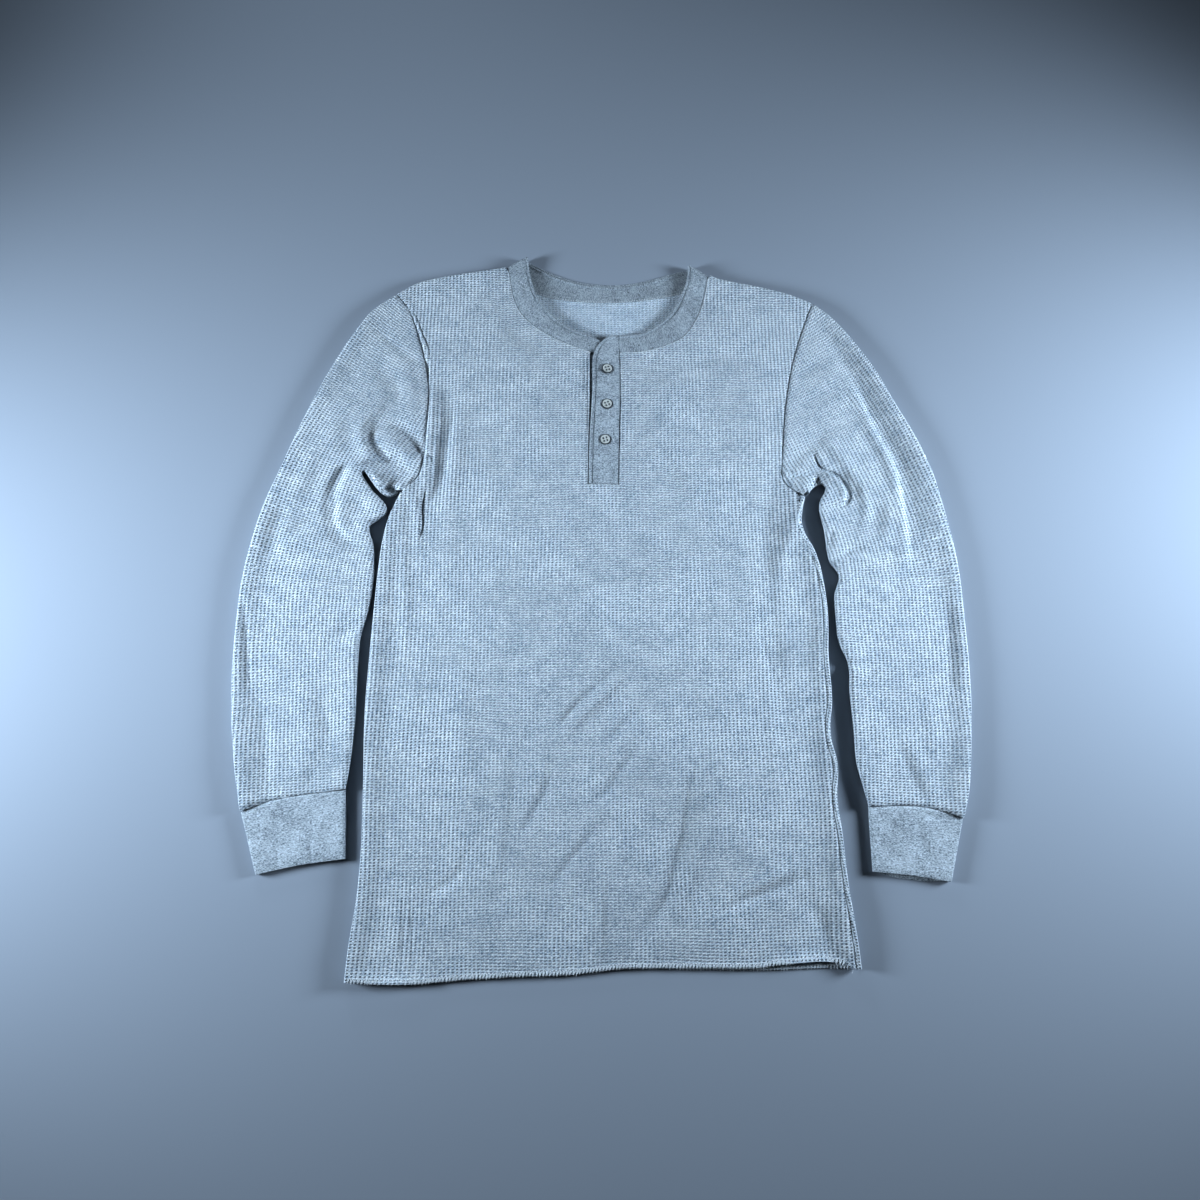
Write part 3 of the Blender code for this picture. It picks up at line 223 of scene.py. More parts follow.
FRONT_FOLDS = folds(
    # trough beside the side seam at the wearer's left, and the ridge outside it
    (8, -3.5, 0.2, 189, 142.9, 178.3, 116, 171.4, 89.6, 168.2, 31.4, 164.9, -16.7, 169.3, -72.6,
     178, -132.7),
    (6, 3.1, 0, 203.1, 76.5, 193.5, 51.6, 179.4, 12.4),
    (5, 1.9, 0, 213.3, 111.6, 208.6, 84.1),
    # turned-in seam allowance that shows through beside the wearer's right armhole
    (0.9, -1.7, 0, -204.2, 308, -198, 296.9, -191.4, 278, -184.8, 262.5, -182.9, 249.5),
    (1.6, 0.9, 0, -211.9, 312.3, -203.8, 302.5, -197.1, 286.7, -190.8, 269.8, -186.3, 254.3),
    (1.7, -2.6, 0, -185.6, 248.3, -184.2, 240.1, -183, 225.9),
    # pleat and crease below the wearer's right armpit
    (1.5, -3.2, 0, -180.1, 100.1, -181.8, 85.9, -181.9, 75, -180.9, 63.1, -183.2, 47.1),
    (4.5, 2.4, 0, -191.1, 94.6, -186.3, 68.5, -184, 36.5),
    (5, 1.6, 0, -202, 72.8, -196.7, 13.3, -190.4, -73.4),
    (1.4, -2, 0, -180.5, 142.2, -176.8, 134.8, -173.4, 125.5),
    (8, -4.8, 0, -163.6, 223.6, -160.9, 186.5, -165.5, 147.8, -167.2, 116.6, -174.2, 88),
    (8, 3, 0, -146.1, 183, -148.8, 145.6, -151.6, 112.2, -158.2, 75),
    (5.5, 3.2, -0.2, -174.6, 209.6, -175, 171.6, -176.7, 141.1, -177.4, 112.2, -180.3, 88),
    (10, 1.6, 0, -153.8, 66.4, -155, 23.8, -159.2, -17.8),
    # under the neckband, and over the chest
    (7, -2.3, 0, -112.8, 327.2, -99.9, 295.2, -75.5, 267.4, -42.9, 249.4),
    (12, 1.7, 0, -102.5, 267.4, -70, 259, -26.8, 247),
    (7, -2.3, 0, 42.9, 242.3, 85.8, 247, 139.9, 257.8, 183.1, 261.4),
    (11, 1.9, 0, 42.5, 211.7, 95.9, 218.7, 149.5, 229.3),
    (6, -1.2, 0, 109.4, 322.2, 125.7, 285.5, 114.1, 259),
    # ribs pressed together beside the slit
    (0.8, -0.8, 0, -16.9, 259, -16.8, 233, -15.4, 190.3),
    (0.8, -1.1, 0, -13.3, 257.9, -13.4, 223.6, -13, 160),
    (0.8, -0.6, 0, -20.6, 258, -20.4, 226.3, -19.6, 182.8),
    # soft diagonal creases of the middle
    (6, -2.46, 0, 60.7, 150.8, 72.7, 122.7, 88.5, 88.5),
    (3.4, -3.8, 0.2, 14.4, -85.3, 1, -98.2, -14.5, -110.9, -28, -125.4, -40.4, -140.8),
    (5.6, 3.4, 0, 22, -92, 6, -110, -20, -134, -33, -150),
    (4, -2.3, 0, 46.4, -120.6, 28.9, -137, 10, -155.2),
    (3.8, -2.6, 0.2, 46, -151.3, 34.3, -166.5, 21.8, -180.6, 14.2, -190, 8.9, -200.3,
     -9.9, -217.7),
    (7, 1.4, 0, 56, -158, 42, -178, 28, -194, 17, -212, -2, -229),
    (3.8, -2.6, 0, -46, -175, -50.1, -198.3, -62.1, -222.9, -70.9, -241.3),
    (5, -3.8, 0.25, 98, -175, 85.5, -198.3, 80.7, -221.3, 76.4, -244.9, 70.4, -266.4, 63.9, -289.4,
     47.9, -322.4),
    (6.6, 3.4, 0, 118, -178, 104, -206, 96, -238, 85, -276, 70, -314),
    (4.2, -2.5, 0, -1.9, -236.8, -15.8, -253, -29.6, -270.9, -44.5, -289.4),
    (5, -2.4, 0, 165.2, -17.8, 163.2, -60.4, 174.5, -90.3),
    (4.5, -2.1, 0, -123.4, -260.2, -130.1, -278.8, -156.4, -297.3),
    (5, -1.7, 0, -84.1, -175, -84.3, -244.9, -87.1, -297.3),
    (8, -1.89, 0, -53.4, -122, -76.5, -174.7),
    (9, 1.89, 0, 136, -117.1, 120.4, -174.7, 114.7, -230.4),
    (12, 2.32, 0, -128.5, -57.6, -133.3, -136.5, -122.9, -212),
    # creases from storage, straight down the middle and the wearer's right
    (1.3, -0.5, 0, 16.8, -57.6, 12.4, -174.7),
    (1.5, -0.9, 0, 5.5, -274.4, 4.4, -318, 3.6, -361.7),
    (1.2, -0.8, 0, -182.2, -293.1, -180.1, -332.3, -179.6, -366.3),
    (1.2, -0.85, 0, -175.8, -275.4, -173, -319.3, -168.3, -365.4),
    (1.4, -0.6, 0, -161.8, -293.1, -158, -363.7),
    (2, -0.6, 0, -169.9, -16.7, -171.1, -174.7, -156.4, -284.3, -153.1, -353.6),
    (1.6, -0.6, 0, -83.5, -161.4, -84.5, -195.3, -86.2, -241.3),
    (1.6, -0.5, 0, -88.3, -161.4, -89.3, -195.3, -90.9, -241.3),
    # low at the wearer's left, down to the lifted hem
    (3.6, -2.6, 0.1, 113.2, -312.1, 130, -304, 148.6, -297.3, 168, -290, 190, -282.5),
    (6, 2.2, 0, 126.8, -295.3, 157.1, -283.9, 185.4, -272.2),
    (8, -2.6, 0, 178.7, -298.4, 193.7, -310.6, 209, -328.8, 204.4, -344.2),
    (6, 1.7, 0, 220.9, -301.9, 217.3, -328, 222.2, -349.4),
    (6, 4.2, 0, 162.9, -356.1, 185.7, -354.4, 206.4, -355.3),
    (7, 3.5, 0, -223.6, -368.8, -193.6, -373.8, -153.2, -371.3),
    # fine creases beside the wearer's left seam
    (3, -1.2, 0, 186, -266.5, 195.1, -301.9),
    (5, 1.2, 0, 161.6, -67.6, 164.3, -136.5, 168.3, -212),
)
RIGHT_SLEEVE_FOLDS = folds(
    # below the shoulder
    (6.5, -2.6, 0.2, -239.5, 283.1, -216.9, 265, -202.2, 251.9, -187.9, 242.4),
    (6, 2, 0, -224.2, 279.4, -209.4, 265, -192.6, 250.7),
    (9, -3.4, 0, -239.9, 247.2, -218.3, 214.2, -221.2, 191.1, -230.2, 175),
    (11, 3, 0, -213.4, 244.7, -198.8, 210.5, -195.6, 170.1),
    (14, 2, 0, -263.7, 211.7, -278.9, 173.5, -290, 139.5),
    # the bunch above the armpit, the ditches on both sides of it and the valley beside it
    (8.6, 5.2, 0.1, -224.6, 161.4, -217.9, 153.5, -206.9, 142.2, -197, 131.6, -189.2, 122.1),
    (4.2, -8.6, -0.3, -227.6, 176.2, -235.2, 171, -238.8, 161.4, -234.4, 149.5, -227, 140.5,
     -220.4, 133.8),
    (4.4, -6.4, 0.2, -220.4, 177.9, -209.4, 169.9, -199.5, 160.2, -191.1, 149, -187.1, 141.1),
    (9, -2.2, 0, -264.4, 179.6, -264.2, 161.4, -256.8, 144.5, -244.6, 133.3),
    (8, 3, -0.2, -236.7, 187.6, -247.2, 178.5, -249.8, 162.5, -245.2, 147.8, -236.1, 136.6),
    (1.2, -2.4, 0, -221.5, 133.7, -211.7, 135.9, -201.4, 137.7),
    (7, -2.6, 0, -219.5, 127.7, -207, 125.5, -194.3, 119.9),
    (6, -3.2, 0, -206.4, 114.4, -214.3, 108.9, -221.3, 105),
    (4, 1.6, 0, -194.8, 110, -200.5, 102.3, -206.4, 96.8),
    # small pleats, the tongue and the pit under the bunch
    (1.5, 1.8, 0, -263.5, 119.9, -247.4, 126, -230.4, 135.5),
    (1.2, -2, 0, -256.5, 123.2, -242.5, 130.5, -228.5, 139.4),
    (1.4, 1.8, 0, -249.1, 121, -238.1, 127.1, -226, 132.7),
    (1.1, -2.2, 0, -246.3, 125.5, -236.3, 131, -225.2, 135.7),
    (2, 4, 0, -233.7, 114.9, -228.7, 108.9, -225.2, 102.3, -222.2, 94.6),
    (1.6, -3.4, 0, -244.2, 116.6, -236.2, 112.7, -231.1, 105),
    (3, -10, 0, -221.1, 101.6, -215.8, 99.4, -209.6, 98.1),
    (1.3, 2.4, 0, -222.1, 92.4, -214.3, 90.9, -207.2, 92.4),
    # ridges that run from the armpit down the sleeve
    (5.6, -4.4, 0.3, -262.2, 131, -270.5, 116.6, -277.6, 101.2, -280, 79.3),
    (7, 3.2, 0, -252.5, 125.5, -261.6, 107.8, -267.4, 88, -268.3, 72.8),
    (6.5, -4.2, -0.2, -266.2, 92, -273.5, 76, -272.6, 62.1, -263.6, 49.2, -252.9, 41.8,
     -238.6, 38.7),
    (8, 2.2, 0, -258, 84, -264, 72, -262, 60, -252, 52, -238, 48),
    (8, 4.2, 0, -239.7, 88, -229.1, 81.5, -217.4, 75),
    (6, 2.4, 0, -248, 58.9, -239.1, 63.1, -232.6, 56.7),
    (9, 3.2, 0, -296.5, 142.9, -306.5, 111.6, -318.6, 84.1),
    (8, -1.8, 0, -321, 82.3, -327.9, 66.4, -331.5, 47.2, -334, 30),
    (8, 1.4, 0, -314.6, 74.1, -318.9, 50.6, -319.5, 27.3),
    (5, -1.7, 0, -324.5, 43.3, -311.1, 55, -294.1, 66.4),
    (7, 2.3, 0, -320.7, 37.8, -305.1, 45.2, -283, 49.5),
    # inside of the elbow
    (2, 0.8, 0, -264.7, -26, -281, -41.4, -292.7, -55.6),
    (2, 0.7, 0, -270.5, -19.9, -287.2, -36.3, -299, -49.5),
    (7, -4.2, 0, -236.1, -43.4, -247.8, -47.5, -260.5, -49.5),
    (6, 2.3, 0, -243.9, -16.7, -254, -29.1, -263.5, -35.2),
    (3, -2, 0, -354.4, -16.7, -348.4, -62.6, -342, -107.3),
    (12, 2, 0, -292.3, -107.3, -278.7, -155.7, -285.1, -193.5),
    (7, -1.9, 0, -270.9, -107.3, -259.5, -155.7),
    (6, -1.6, 0, -328.4, -117.1, -317.3, -174.7, -312.4, -207.4),
    (3, -1, 0, -306.5, -191.6, -303.6, -199.6, -300.3, -205.1),
    (4, -0.9, 0, -276.4, -184.1, -270.9, -204.6),
)
LEFT_SLEEVE_FOLDS = folds(
    # the long fold inside the outer edge
    (9, -4.6, 0.2, 233.4, 292.8, 257.2, 257.8, 278.6, 212.8, 294.3, 167.8, 310.4, 133.9, 316, 89.6,
     318.3, 57, 318.9, 29.3, 313.4, 12.4, 294.2, -0.1),
    (6, 3.4, 0, 266.3, 218.7, 285.7, 165.5, 300.5, 127.2, 306.7, 89.6, 309.1, 57, 308.9, 30.3),
    # across the sleeve head
    (4, -2.3, 0, 211.5, 229.9, 222.6, 236.4, 233.6, 242.3),
    (6, -4.2, 0, 197.5, 127.2, 208.7, 141.7, 233.9, 161),
    (7, -2, 0, 208.3, 190.8, 228.2, 204.7, 247.7, 211.7),
    (6, 1.6, 0, 212.2, 204.7, 232.2, 218.7, 247.7, 228.1),
    (7, 3.6, 0, 239.5, 149.6, 255.8, 127.2, 266.6, 104.9),
    # the slit behind the curled flap, the flap, and the cloth that dips between it and the seam
    (1.9, -8.5, 0.55, 226.6, 124.9, 232.1, 121.2, 238.6, 118.1, 246.4, 111.7, 252.8, 102.3,
     254.8, 95.1, 253, 87.5),
    (3.4, 4.2, -0.35, 228.3, 118.8, 235.3, 115.3, 243.1, 108.9, 248.3, 100.6, 250.3, 92.4,
     248.2, 84.8),
    (8, -2.4, 0, 241, 123.2, 255.9, 114.4, 265.2, 100.1, 263.1, 84.8),
    (9, 2.6, 0, 280.3, 110, 283.1, 92.4, 276.6, 75),
    (4, -3.2, -0.3, 255.1, 88, 248.6, 82.6, 239.2, 80.4, 229, 79.9),
    (2.8, -3.4, -0.5, 224.5, 141.1, 227, 131, 231.6, 121.6),
    (3.6, -6.5, 0, 226.9, 113.3, 221.8, 104.5, 216.5, 94.6),
    (1.8, -3, 0.3, 190.9, 114.4, 203.3, 114.4, 222, 116.6),
    (4.5, 2.2, 0, 196.4, 121, 206.7, 121, 219.3, 123.2),
    (4, 1.6, 0, 195.7, 107.8, 203.7, 104.5, 211.7, 100.1),
    # down to the elbow
    (8.5, -2.6, 0, 280.6, 104.9, 283.6, 70, 274.1, 52.7),
    (5, 2.3, 0, 270.8, 104.9, 272.5, 72.1, 266.1, 54.9),
    (7, 1.6, 0, 295.2, 100.5, 295.7, 67.8, 288.5, 41),
    (2.6, -3.2, 0, 244.1, 30.3, 254.5, 34.6, 265.8, 36.7),
    (3.2, 4.2, 0, 240.6, 23.5, 255.8, 25, 272.1, 26.6),
    (4, -3.2, 0, 258.4, 4.5, 274.1, 12.4, 290.5, 15.6, 308.6, 15.6),
    (3.4, 2, 0, 247.2, 16.6, 263.4, 17.7, 276.8, 21.9),
    (2.6, -1.3, 0, 293.1, 35.6, 297.6, 28.2),
    (3, -3.2, 0, 235.6, 55.9, 232.2, 34.6),
    (5, -2, 0, 292, -3.3, 303.5, 3),
    (9, 2, 0, 274.9, -16.7, 300.4, -10.5, 319.4, 0.9),
    # below the elbow
    (5, -2, 0, 345.5, -20.9, 345.9, -57.6, 342, -107.3),
    (3.5, -3.2, 0, 241.4, -82.6, 252.3, -81.6),
    (4, 1.9, 0, 244.7, -91.6, 256.5, -90.6),
    (9, 1.9, 0, 262.4, -117.1, 269.1, -155.7, 261.6, -202.8),
    (6, -1.5, 0, 285.2, -157.6, 292, -179.4, 304.5, -210.2),
    (7, 1.5, 0, 296.8, -157.6, 305.9, -184.1, 315, -210.2),
    (3, -1.9, 0, 304.2, -224.9, 312.4, -227.6, 320.6, -230.4),
    (8, 1.4, 0, 320.7, -117.1, 321.1, -174.7),
)
CUFF_FOLDS = folds(
    (4.5, -1.3, 0, 299.3, -229.5, 298.8, -245.8, 306.3, -265.6),
    (6, 0.8, 0, 286.5, -225.9, 282.7, -248.5, 283.5, -271.8),
    (3.2, -1.4, 0, 302.5, -224.9, 310.8, -226.8, 320, -228.6),
    (1.3, -1.1, 0, -302.4, -253.9, -300.7, -260.2, -298.2, -269.2),
    (1.5, -1, 0, -271, -248.5, -269.5, -258.4, -268.2, -269.2),
    (5, -0.9, 0, -299.5, -237.7, -288.8, -243.1, -280.5, -241.3),
    (6, 0.8, 0, -261.3, -223.1, -263.4, -244.9, -259, -264.7),
)
# Buttons from the neck down: place, and how far the button leans on its thread, in degrees.
ButtonPlace = namedtuple("ButtonPlace", "x y lean toward")
BUTTONS = (ButtonPlace(0.0078, 0.2370, 9, 35), ButtonPlace(0.0075, 0.1963, 2, 80),
           ButtonPlace(0.0055, 0.1556, 1.5, 10))

# The buttonhole strip puckers below each button.
PLACKET_PUCKERS = folds(
    (3.2, -0.8, -0.2, -4, 229, 7.4, 223.6, 20.5, 211),
    (4, 0.4, 0, -2, 214, 6, 210, 13, 203),
    (2.8, -0.7, -0.2, -3, 185.5, 10.5, 183, 19, 176),
    (4, 0.4, 0, 0, 176, 8, 172, 14, 165),
    (3, -0.3, 0, -2, 146, 10, 143),
    (4, 0.4, 0, 0, 252, 14, 250),
)
# Loose ends of thread: below two buttons and at the hem's left corner, and how high each lies.
THREAD_TAILS = ((mm(9.5, 189.1, 8.8, 184.7, 11.1, 181.2), 0.0086),
                (mm(12.5, 155.5, 15.1, 153.7, 17.9, 154.1), 0.0086),
                (mm(228.9, -356.7, 229.5, -360.9, 228.1, -365.1), 0.0030))
# Middle column of each sleeve's knit, drawn on past both of its ends.
RIGHT_SLEEVE_COLUMN = mm(-150, 330, -203, 250, -240, 180, -275, 105, -295, 30, -300, -60,
    -294, -140, -289, -215, -282, -300)
LEFT_SLEEVE_COLUMN = mm(150, 330, 205, 250, 244, 180, 278, 105, 298, 30, 302, -60, 300, -140,
    297, -222, 292, -300)
PLACKET_LINE = mm(4, 262, 4, 112)
PLACKET_HALF = 0.017
ARMHOLE_END_TRIM = 0.010     # front's edges that stop short at the wearer's left underarm
LAP_END_TRIM = 0.008
PLACKET_END_TRIM = 0.0055    # its neck edge, where the placket tops it
NECK_END_TRIM = 0.0012       # and where the neck meets the shoulder fold


# ---- lines in plan ------------------------------------------------------------------------

def unit(rows):
    """Each row scaled to a length of one."""
    return rows / np.maximum(np.linalg.norm(rows, axis=1), 1e-9)[:, None]


def rounded(points, step=EDGE_STEP):
    """A rounded line through the points, with no two of its own points further apart than step."""
    line = np.asarray(points, float)
    before = np.vstack((2 * line[0] - line[1], line[:-1]))
    after = np.vstack((line[1:], 2 * line[-1] - line[-2]))
    heading = unit(after - before)
    out = [line[:1]]
    for i in range(len(line) - 1):
        length = np.linalg.norm(line[i + 1] - line[i])
        count = max(1, math.ceil(length / step))
        t = (np.arange(1, count + 1) / count)[:, None]
        out.append(line[i] * (2 * t**3 - 3 * t**2 + 1)
                   + heading[i] * length * (t**3 - 2 * t**2 + t)
                   + line[i + 1] * (3 * t**2 - 2 * t**3)
                   + heading[i + 1] * length * (t**3 - t**2))
    return np.vstack(out)


def run_of(line):
    """How far along the line each of its points is."""
    return np.concatenate(([0.0], np.cumsum(np.linalg.norm(np.diff(line, axis=0), axis=1))))


def spaced(line, count):
    """The line with count points at even steps."""
    run = run_of(line)
    at = np.linspace(0, run[-1], count)
    return np.stack([np.interp(at, run, line[:, k]) for k in range(line.shape[1])], axis=1)


def beside(line, distance):
    """The line moved to its left by a distance, seen along its way from above."""
    way = unit(np.gradient(line, axis=0))
    return line + np.stack((-way[:, 1], way[:, 0]), axis=1) * distance


def trimmed(line, start=0.0, end=0.0):
    """The line cut back along its own length at its start and at its end."""
    run = run_of(line)
    low, high = start, run[-1] - end
    inside = (run > low + 1e-5) & (run < high - 1e-5)
    ends = [[np.interp(at, run, line[:, k]) for k in (0, 1)] for at in (low, high)]
    return np.vstack((ends[:1], line[inside], ends[1:]))


def nearest(points, line):
    """For places in plan: distance to a line, how far along it that is, how far to its left."""
    best = np.full(len(points), np.inf)
    along = np.zeros(len(points))
    left = np.zeros(len(points))
    run = 0.0
    for a, b in zip(line, line[1:]):
        way = b - a
        length = math.hypot(*way)
        if length == 0:
            continue
        t = np.clip((points - a) @ way / length**2, 0, 1)
        off = points - a - t[:, None] * way
        distance = np.hypot(off[:, 0], off[:, 1])
        closer = distance < best
        best[closer] = distance[closer]
        along[closer] = run + t[closer] * length
        left[closer] = (way[0] * off[closer, 1] - way[1] * off[closer, 0]) / length
        run += length
    return best, along, left


def bell(distance, spread):
    """1 at no distance, falling smoothly to nothing over about twice the spread."""
    return np.exp(-(distance / spread) ** 2)


def ripple(points, length, seed):
    """Smooth unevenness from -1 to 1, with waves of about a length."""
    rng = np.random.default_rng(seed)
    total = np.zeros(len(points))
    for _ in range(9):
        turn = rng.uniform(0, 2 * math.pi)
        wave = 2 * math.pi / (length * rng.uniform(0.7, 1.6))
        phase = rng.uniform(0, 2 * math.pi)
        total += np.sin(points @ (np.array([math.cos(turn), math.sin(turn)]) * wave) + phase)
    return total / 4.5


# ---- relief of the cloth ------------------------------------------------------------------

FOLD_LINES = [rounded(table, 0.012) for table in (
    RIGHT_SHOULDER, RIGHT_SLEEVE_OUTER, RIGHT_SLEEVE_INNER, RIGHT_SIDE,
    LEFT_SHOULDER, LEFT_SLEEVE_OUTER, LEFT_SLEEVE_INNER, LEFT_SIDE)]
SIDE_SEAM = trimmed(beside(rounded(LEFT_SIDE)[::-1], FOLD_RADIUS + WRAP_LAP), end=SIDE_SEAM_END)
# Where two pieces are sewn together the cloth sinks to the seam, and the turned-in edges raise it
# beside the seam: line, half width and depth of the groove, height of the raised part.
SEAMS = (*((rounded(line, 0.008), 0.0012, 0.0014, 0.0006) for line in ARMHOLES),
         *((rounded(line, 0.008), 0.0010, 0.0016, 0.0005) for line in CUFF_SEAMS),
         *((rounded(table[:, 2:], 0.008), 0.0010, 0.0006, 0.0002) for table in BAND_FRONTS),
         (WINDOW_LEFT, 0.0010, 0.0010, 0.0002),
         (SIDE_SEAM, 0.0008, 0.0012, 0.0004))


def boxed(points, path, reach):
    """Which points are in the box that reaches that far round a path."""
    low, high = path.min(0) - reach, path.max(0) + reach
    return np.flatnonzero(((points > low) & (points < high)).all(axis=1))


def creased(points, creases):
    """Height that a table of creases adds at places in plan."""
    height = np.zeros(len(points))
    for crease in creases:
        path = rounded(crease.path, 0.006)
        near = boxed(points, path, 3.2 * crease.width * (1 + abs(crease.lean)))
        if not len(near):
            continue
        distance, along, left = nearest(points[near], path)
        share = along / run_of(path)[-1]
        strength = 1 - 0.65 * np.abs(2 * share - 1) ** 3
        spread = crease.width * (1 + crease.lean * left / np.maximum(distance, 1e-6))
        height[near] += crease.height * strength * bell(distance, spread)
    return height


def from_folds(points):
    """Distance to the nearest folded side, from the start of its rounding."""
    distance = np.min([nearest(points, line)[0] for line in FOLD_LINES], axis=0)
    return np.maximum(0, distance - FOLD_RADIUS)


def edge_lift(points):
    """How far the layer on the floor is lifted, next to its folded sides."""
    uneven = 0.75 + 0.35 * ripple(points, 0.11, 5)
    return EDGE_LIFT * uneven * bell(from_folds(points), EDGE_LIFT_SPREAD)


def raised_off(height, lowest):
    """The height, eased so that it stays above the lowest."""
    return lowest + EASE * np.logaddexp(0, (height - lowest) / EASE)


def top_height(points):
    """Height of the outer face of the cloth that lies on top, at places in plan."""
    inside = from_folds(points)
    height = LAY_HEIGHT + (FOLD_HEIGHT - LAY_HEIGHT) * bell(inside, FOLD_SPREAD)
    near_hem = bell(nearest(points, rounded(HEM_FRONT, 0.01))[0], HEM_SPREAD)
    height -= (LAY_HEIGHT - HEM_HEIGHT) * near_hem
    beside_placket = np.maximum(0, nearest(points, PLACKET_LINE)[0] - PLACKET_HALF)
    height += (PLACKET_TOP - LAY_HEIGHT - PLACKET_DROP) * bell(beside_placket, PLACKET_SPREAD)
    height += creased(points, FRONT_FOLDS + RIGHT_SLEEVE_FOLDS + LEFT_SLEEVE_FOLDS)
    height += sum(amount * ripple(points, length, seed) for amount, length, seed in UNEVEN)
    for line, width, depth, raised in SEAMS:
        away = nearest(points, line)[0]
        height += (raised * bell(away - ALLOWANCE_INSET, ALLOWANCE_SPREAD)
                   - depth * bell(away, width))
    return raised_off(height, LOWEST_TOP + edge_lift(points))


# ---- sheets of cloth ----------------------------------------------------------------------

def linked(name, data):
    """A new object in the scene that holds the data."""
    made = bpy.data.objects.new(name, data)
    bpy.context.scene.collection.objects.link(made)
    return made


def smooth_mesh(name, points, faces, materials):
    """A smoothly shaded mesh in its materials."""
    mesh = bpy.data.meshes.new(name)
    mesh.from_pydata(points.tolist(), [], faces)
    for material in materials:
        mesh.materials.append(material)
    mesh.shade_smooth()
    return mesh


class Cloth:
    """Outer face of a wall of cloth: its points, their places in the knit, its faces."""

    def __init__(self):
        self.points = np.zeros((0, 3))
        self.knit = np.zeros((0, 2))
        self.faces = []

    def add(self, points, knit):
        """Add points and give their numbers."""
        first = len(self.points)
        self.points = np.vstack((self.points, points))
        self.knit = np.vstack((self.knit, knit))
        return np.arange(first, len(self.points))

    def add_faces(self, faces):
        self.faces += [tuple(int(i) for i in face) for face in faces]

    def add_strip(self, previous, current):
        """Faces between two rows of points."""
        self.add_faces(zip(previous[1:], previous[:-1], current[:-1], current[1:]))

    def normals(self):
        corners = np.array([face[:3] for face in self.faces]
                           + [(face[0], face[2], face[3]) for face in self.faces if len(face) == 4])
        a, b, c = (self.points[corners[:, k]] for k in range(3))
        turn = np.cross(b - a, c - a)
        total = np.zeros_like(self.points)
        for k in range(3):
            np.add.at(total, corners[:, k], turn)
        return total / np.maximum(np.linalg.norm(total, axis=1), 1e-12)[:, None]

    def make(self, name, wall, outside, inside):
        """The closed sheet between the outer face and the one a wall's thickness inside it."""
        count = len(self.points)
        points = np.vstack((self.points, self.points - self.normals() * wall))
        faces = self.faces + [tuple(count + i for i in reversed(face)) for face in self.faces]
        edges = {pair for face in self.faces for pair in zip(face, face[1:] + face[:1])}
        faces += [(j, i, count + i, count + j) for i, j in sorted(edges) if (j, i) not in edges]
        mesh = smooth_mesh(name, points, faces, (outside, inside))
        corner = np.zeros(len(mesh.loops), int)
        mesh.loops.foreach_get("vertex_index", corner)
        knit = np.vstack((self.knit, self.knit))[corner]
        mesh.uv_layers.new(name="knit").data.foreach_set("uv", knit.ravel())
        slots = np.zeros(len(mesh.polygons), int)
        slots[len(self.faces):2 * len(self.faces)] = 1
        mesh.polygons.foreach_set("material_index", slots)
        mesh.set_sharp_from_angle(angle=SHARP_ANGLE)
        return linked(name, mesh)


def crossing(a, b, c, d):
    """How far along a-b and c-d the two segments cross, or None."""
    r, s, w = b - a, d - c, c - a
    turn = r[0] * s[1] - r[1] * s[0]
    if abs(turn) < 1e-15:
        return None
    t = (w[0] * s[1] - w[1] * s[0]) / turn
    u = (w[0] * r[1] - w[1] * r[0]) / turn
    return (t, u) if 0 <= t <= 1 and 0 <= u <= 1 else None


def meet(first, then):
    """Join the end of one stretch to the start of the next: cut back at a crossing, or snapped.

    A stretch is an array of rows: the place of the flat edge, then that of the fold's rim.
    """
    for p in range(len(first) - 2, max(-1, len(first) - 2 - MEET_REACH), -1):
        for q in range(min(MEET_REACH, len(then) - 1)):
            found = crossing(first[p, :2], first[p + 1, :2], then[q, :2], then[q + 1, :2])
            if found:
                t, u = found
                end = first[p] + (first[p + 1] - first[p]) * t
                start = then[q] + (then[q + 1] - then[q]) * u
                start[:2] = end[:2]
                return np.vstack((first[:p + 1], [end])), np.vstack(([start], then[q + 1:]))
    if np.linalg.norm(first[-1, :2] - then[0, :2]) < SNAP:
        then = then.copy()
        then[0, :2] = first[-1, :2]
    return first, then


